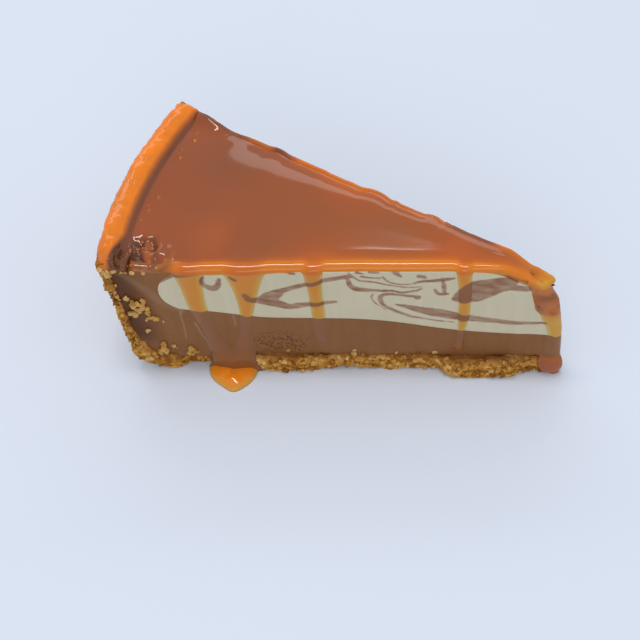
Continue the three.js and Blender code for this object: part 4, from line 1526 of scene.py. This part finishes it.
    def closed(self, points: np.ndarray, backs: np.ndarray, keep: np.ndarray,
               values: dict[str, np.ndarray]) -> Skin:
        """Joins the sheet's face and back along every open edge.

        Args:
            points: The face, rows by columns.
            backs: The back, alike.
            keep: Which cells stay.
            values: Named values on the face.

        Returns:
            One closed skin, its doubled points merged.
        """
        rows, cols = points.shape[:2]
        ids = np.arange(rows * cols).reshape(rows, cols)
        quads = grid_quads(ids)[keep.ravel()]
        rounded = np.round(points.reshape(-1, 3), 4) + 0.0
        _, first, merged = np.unique(rounded, axis=0, return_index=True, return_inverse=True)
        merged = merged.ravel()
        faces = triangles(merged[quads])
        count = len(first)
        edges = np.vstack([faces[:, [0, 1]], faces[:, [1, 2]], faces[:, [2, 0]]])
        there, back = edges[:, 0] * count + edges[:, 1], edges[:, 1] * count + edges[:, 0]
        rim = edges[~np.isin(there, back)]
        wall = np.stack([rim[:, 1], rim[:, 0], rim[:, 0] + count, rim[:, 1] + count], -1)
        faces = np.vstack([faces, faces[:, ::-1] + count, triangles(wall)])
        both = np.vstack([points.reshape(-1, 3)[first], backs.reshape(-1, 3)[first]])
        doubled = {key: np.tile(value.ravel()[first], 2) for key, value in values.items()}
        return Skin(both, faces, doubled).compact()


@dataclass
class CaramelRim:
    """The caramel that has set over the crumb wall's top."""

    finish: CaramelFinish
    wedge: Wedge = WEDGE
    outline: tuple = ((118.4, 45.8), (119.4, 46.4), (120.1, 47.1), (120.7, 48.0), (121.4, 48.8),
                      (122.4, 49.3), (123.6, 49.6), (125.2, 49.55), (126.5, 49.2), (127.3, 48.5),
                      (127.6, 47.5), (127.2, 46.2))
    cells: tuple[int, int, int] = (70, 330, 3)
    bed: float = 45.2
    bed_in: float = 118.6
    bed_out: float = 126.4
    arc: float = 65.0

    def build(self) -> None:
        """The rim: its outline, a hollow curve up from the pool and a flat top, carried along the wall."""
        columns, rows, layers = self.cells
        profile = evenly(smooth_line(self.outline, 8), columns)
        skin, faces = box_skin(np.linspace(0, 1, len(profile)), np.linspace(-1, 1, rows),
                               np.linspace(0, 1, layers))
        index = np.rint(skin[:, 0] * (len(profile) - 1)).astype(int)
        r, z = profile[index].T
        v, share = skin[:, 1], skin[:, 2]
        along = np.stack([self.arc / 2 * v, 0 * v, 0.5 * z], -1)
        ragged = 0.45 * noise(along, 6, 81) + 0.4 * noise(along, 2.2, 82) + 0.3 * noise(along, 0.95, 83)
        outer, top = ease(124.2, 127, r), ease(120.5, 122.5, r)
        lump = noise(np.stack([self.arc / 2 * v, r, 0 * v], -1), 4.5, 84)
        fine = noise(np.stack([self.arc / 2 * v, r, 0 * v], -1), 1.6, 85)
        near_end, end = 1 - ease(-0.97, -0.62, v), ease(0.94, 1, np.abs(v))
        r_in = r + 2.0 * near_end * (1 - ease(118, 125, r))
        r_up = r_in + outer * 0.7 * ragged - 0.4 * outer * end
        knobs = noise(np.stack([self.arc / 2 * v, r_in, 2 * z], -1), 1.5, 88)
        z_up = z + top * (0.2 * lump + 0.08 * fine) - outer * 0.4 * np.maximum(0, ragged)
        z_up = z_up - 0.9 * top * end - 0.5 * near_end * top
        z_up = z_up + near_end * (1 - 0.8 * top) * (knobs + 0.2)
        z_up = np.maximum(z_up, self.bed + 0.15)
        r_low = self.bed_in + (self.bed_out - self.bed_in) * ease(118, 127.6, r)
        points = self.wedge.place(r_low + (r_up - r_low) * share, v, self.bed + (z_up - self.bed) * share,
                                  0.3 - 0.5 * end * share * (v > 0) + 0.2 * near_end)
        # The top is the bright orange of thin caramel over golden crumb; the inner slope down to the pool is
        # darker, deep caramel over dark crumb with the groove's shade painted in.
        bright = ease(120.0, 122.0, r - 2.6 * near_end) * (1 - 0.25 * near_end)
        depth = 3.3 - 1.8 * bright + 0.3 * lump + 0.5 * near_end * (1 - bright)
        glow = np.clip(bright * (0.72 + 0.24 * lump + 0.1 * fine + 0.2 * knobs), 0, 1)
        values = {"depth": depth, "white": 0.85 * bright, "glow": glow}
        put_piece("caramel_rim", Skin(points, faces, values), self.finish, Part.CARAMEL)


@dataclass
class CaramelBubbles:
    """Bubbles that set in the caramel along the rim."""

    finish: CaramelFinish
    wedge: Wedge = WEDGE
    rows: int = 7
    columns: int = 14
    squat: float = 0.6
    middle_z: float = 46.25
    crowd: int = 26
    few: tuple = ((117.2, -0.30, 0.75), (117.9, -0.24, 0.5), (116.4, 0.42, 1.0), (117.5, 0.52, 0.6),
                  (115.8, 0.68, 1.1), (116.9, 0.78, 0.7), (118.4, -0.42, 0.45), (116.0, -0.12, 0.9))

    def dome(self) -> Skin:
        """One bubble, before it is sized and placed.

        Returns:
            A squat round with a radius of 1, each of its two poles a single point.
        """
        turns = np.linspace(0, 2 * math.pi, self.columns, endpoint=False)
        t, turn = np.meshgrid(np.linspace(0, 1, self.rows), turns, indexing="ij")
        flat, tall = np.sin(t * math.pi), self.squat * np.cos(t * math.pi)
        points = np.stack([flat * np.cos(turn), flat * np.sin(turn), tall], -1).reshape(-1, 3)
        ids = np.arange(self.rows * self.columns).reshape(self.rows, self.columns)
        ids[0], ids[-1] = ids[0, 0], ids[-1, 0]
        return Skin(points, triangles(ring_quads(ids))).compact()

    def build(self) -> None:
        """Low domes on the pool: small ones crowded by the near corner, a few larger ones beyond."""
        random = np.random.default_rng(19)
        crowd = np.stack([random.uniform(112.5, 119.5, self.crowd), random.uniform(-0.97, -0.55, self.crowd),
                          0.22 + 0.5 * random.random(self.crowd) ** 2], -1)
        r, v, radius = np.vstack([crowd, self.few]).T
        dome = self.dome()
        middles = self.wedge.place(r, v, self.middle_z + 0 * r)
        middles[:, 2] -= 0.7 * (v < -0.5) * (r > 113)
        points = (dome.points[None] * radius[:, None, None] + middles[:, None]).reshape(-1, 3)
        starts = np.arange(len(r))[:, None, None] * len(dome.points)
        faces = (dome.faces[None] + starts).reshape(-1, 3)
        ring = np.tile(1 - np.abs(dome.points[:, 2]) / self.squat, len(r))
        values = {"depth": 2.2 - 1.2 * ring, "white": 0.3 + 0.4 * ring, "glow": 0 * ring}
        put_piece("caramel_bubbles", Skin(points, faces, values), self.finish, Part.CARAMEL)


@dataclass
class CaramelPuddle:
    """The puddle at the foot of the two near runs."""

    finish: CaramelFinish
    wedge: Wedge = WEDGE
    reach: float = 94.8
    wide: float = 7.4
    forward: float = 9.3
    thick: float = 2.3
    lumpy: float = 0.55
    rings: int = 26
    spokes: int = 72

    def build(self) -> None:
        """A dome on the table: its outline an egg, its height a steep-edged round."""
        share = np.linspace(0, 1, self.rings)[:, None]
        angle = np.linspace(0, 2 * math.pi, self.spokes, endpoint=False)[None]
        along = self.wide * np.cos(angle) * share
        ahead = self.forward * np.sin(angle) * share
        along = along * (1 - 0.22 * np.maximum(0, ahead) / self.forward)
        wobble = 1 + 0.05 * np.sin(3 * angle + 0.7) + 0.03 * np.sin(5 * angle)
        along, ahead = along * wobble, ahead * wobble
        place = np.stack([along, ahead, 0 * along], -1)
        height = self.thick * (1 - share**2.6) ** 0.55 + self.lumpy * noise(place, 2.7, 91) * (1 - share)
        middle = self.wedge.on_face(Side.NEAR, np.array([self.reach]), np.zeros(1), np.zeros(1))
        cos, sin = math.cos(self.wedge.half_angle), math.sin(self.wedge.half_angle)
        x = middle[0, 0] - along * cos + ahead * sin
        y = middle[0, 1] - along * sin - ahead * cos
        top = np.stack([x, y, np.maximum(height, 0) * (share < 1)], -1)
        bottom = top[1:-1] * (1, 1, 0)
        points = np.vstack([top.reshape(-1, 3), bottom.reshape(-1, 3), middle * (1, 1, 0)])
        count = self.rings * self.spokes
        ids = np.arange(count).reshape(self.rings, self.spokes)
        low = count + ids - self.spokes
        low[0], low[-1] = len(points) - 1, ids[-1]
        ids[0] = 0
        faces = triangles(np.vstack([ring_quads(ids), ring_quads(low)[:, ::-1]]))
        depth, glow = 0.22 + 0.35 * (1 - share**3), 0.75 - 0.6 * np.exp(-((1 - share) / 0.16) ** 2)
        values = {}
        for name, level in (("depth", depth), ("white", 1 + 0 * share), ("glow", glow)):
            grid = level + 0 * angle
            values[name] = np.concatenate([grid.ravel(), grid[1:-1].ravel(), grid[0, :1]])
        put_piece("caramel_puddle", Skin(points, faces, values).compact(), self.finish, Part.CARAMEL)


def stand(thing: bpy.types.Object, place: np.ndarray, side: np.ndarray, back: np.ndarray) -> None:
    """Stands a camera or a light in the scene.

    Args:
        thing: What to stand.
        place: Where, in metres.
        side: The direction of its right.
        back: The direction that it looks away from.
    """
    axes = np.eye(4)
    axes[:3, :3] = np.stack([side, np.cross(back, side), back], -1)
    axes[:3, 3] = place
    thing.matrix_world = Matrix(axes.tolist())
    bpy.context.scene.collection.objects.link(thing)


@dataclass(frozen=True)
class Softbox:
    """A flat light that faces a point."""

    name: str
    place: tuple[float, float, float]
    target: tuple[float, float, float]
    size: tuple[float, float]
    watts: float
    shape: LightShape = LightShape.OBLONG

    def put_up(self) -> None:
        """Makes the light and turns it to its target."""
        data = bpy.data.lights.new(self.name, "AREA")
        data.shape, data.energy = self.shape.value, self.watts
        data.size, data.size_y = self.size
        towards = np.array(self.target, float) - np.array(self.place, float)
        back = -towards / np.linalg.norm(towards)
        side = np.cross([0, 1, 0] if abs(back[2]) > 0.9 else [0, 0, 1], back)
        light = bpy.data.objects.new(self.name, data)
        stand(light, np.array(self.place), side / np.linalg.norm(side), back)


@dataclass(frozen=True)
class Studio:
    """Floor, light and the camera, which stands where the photograph was taken."""

    camera_place: tuple[float, float, float] = (104.92, -246.59, 355.48)
    looks: tuple[float, float, float] = (-0.2549, 0.5501, -0.7952)
    right: tuple[float, float, float] = (0.9445, 0.3178, -0.0829)
    lens: float = 83.42
    sensor: float = 36.0
    floor_size: float = 6.0
    floor_colour: tuple[float, float, float, float] = (0.68, 0.73, 0.83, 1)
    room_colour: tuple[float, float, float, float] = (0.93, 0.96, 1.0, 1)
    room_strength: float = 0.70
    softboxes: tuple[Softbox, ...] = (
        Softbox("overhead strip", (-0.115, 0.02, 1.1), (-0.1, 0, 0), (0.44, 0.12), 3.3),
        Softbox("front softbox", (0.35, -1.2, 0.75), (0, 0, 0.02), (0.9, 0.6), 2.9),
        Softbox("back strip", (-0.418, 0.906, 0.836), (0, 0, 0.046), (1.4, 0.22), 1.9),
        Softbox("window", (-0.289, 0.828, 1.128), (0.015, -0.01, 0.046), (0.1, 0.026), 0.058,
                LightShape.OVAL),
    )

    def build(self) -> None:
        """Puts up the camera, the floor and the lights, and shows colours as they are."""
        bpy.context.scene.view_settings.view_transform = "Standard"
        self.camera()
        self.floor()
        self.lights()

    def camera(self) -> None:
        """The camera, turned by where it looks and where its right is."""
        back = -np.array(self.looks)
        back /= np.linalg.norm(back)
        right = np.array(self.right) - np.dot(self.right, back) * back
        right /= np.linalg.norm(right)
        data = bpy.data.cameras.new("camera")
        data.lens, data.sensor_width, data.sensor_fit = self.lens, self.sensor, "HORIZONTAL"
        camera = bpy.data.objects.new("camera", data)
        stand(camera, np.array(self.camera_place) * MM, right, back)
        bpy.context.scene.camera = camera

    def floor(self) -> None:
        """A plain pale floor."""
        half = self.floor_size / 2
        mesh = bpy.data.meshes.new("floor")
        corners = [(-half, -half, 0), (half, -half, 0), (half, half, 0), (-half, half, 0)]
        mesh.from_pydata(corners, [], [(0, 1, 2, 3)])
        material = bpy.data.materials.new("pale floor")
        material.use_nodes = True
        shader = material.node_tree.nodes["Principled BSDF"]
        shader.inputs["Base Color"].default_value = self.floor_colour
        shader.inputs["Roughness"].default_value = 0.5
        shader.inputs["Specular IOR Level"].default_value = 0.2
        mesh.materials.append(material)
        floor = bpy.data.objects.new("floor", mesh)
        bpy.context.scene.collection.objects.link(floor)

    def lights(self) -> None:
        """A pale room and the softboxes."""
        world = bpy.data.worlds.new("room")
        world.use_nodes = True
        background = world.node_tree.nodes["Background"]
        background.inputs["Color"].default_value = self.room_colour
        background.inputs["Strength"].default_value = self.room_strength
        bpy.context.scene.world = world
        for softbox in self.softboxes:
            softbox.put_up()


def main() -> None:
    """Builds the slice from the crust up, then the studio round it."""
    logging.basicConfig(level=logging.INFO, format="%(name)s: %(message)s", stream=sys.stdout)
    Studio().build()
    effects = Effects()
    CrumbCrust(CrumbFinish(effects)).build()
    ChocolateLayer(ChocolateFinish(effects)).build()
    VanillaLayer(VanillaFinish(effects)).build()
    caramel = CaramelFinish(effects)
    CaramelGlaze(caramel).build()
    CaramelRim(caramel).build()
    CaramelBubbles(caramel).build()
    CaramelPuddle(caramel).build()


if __name__ == "__main__":
    main()
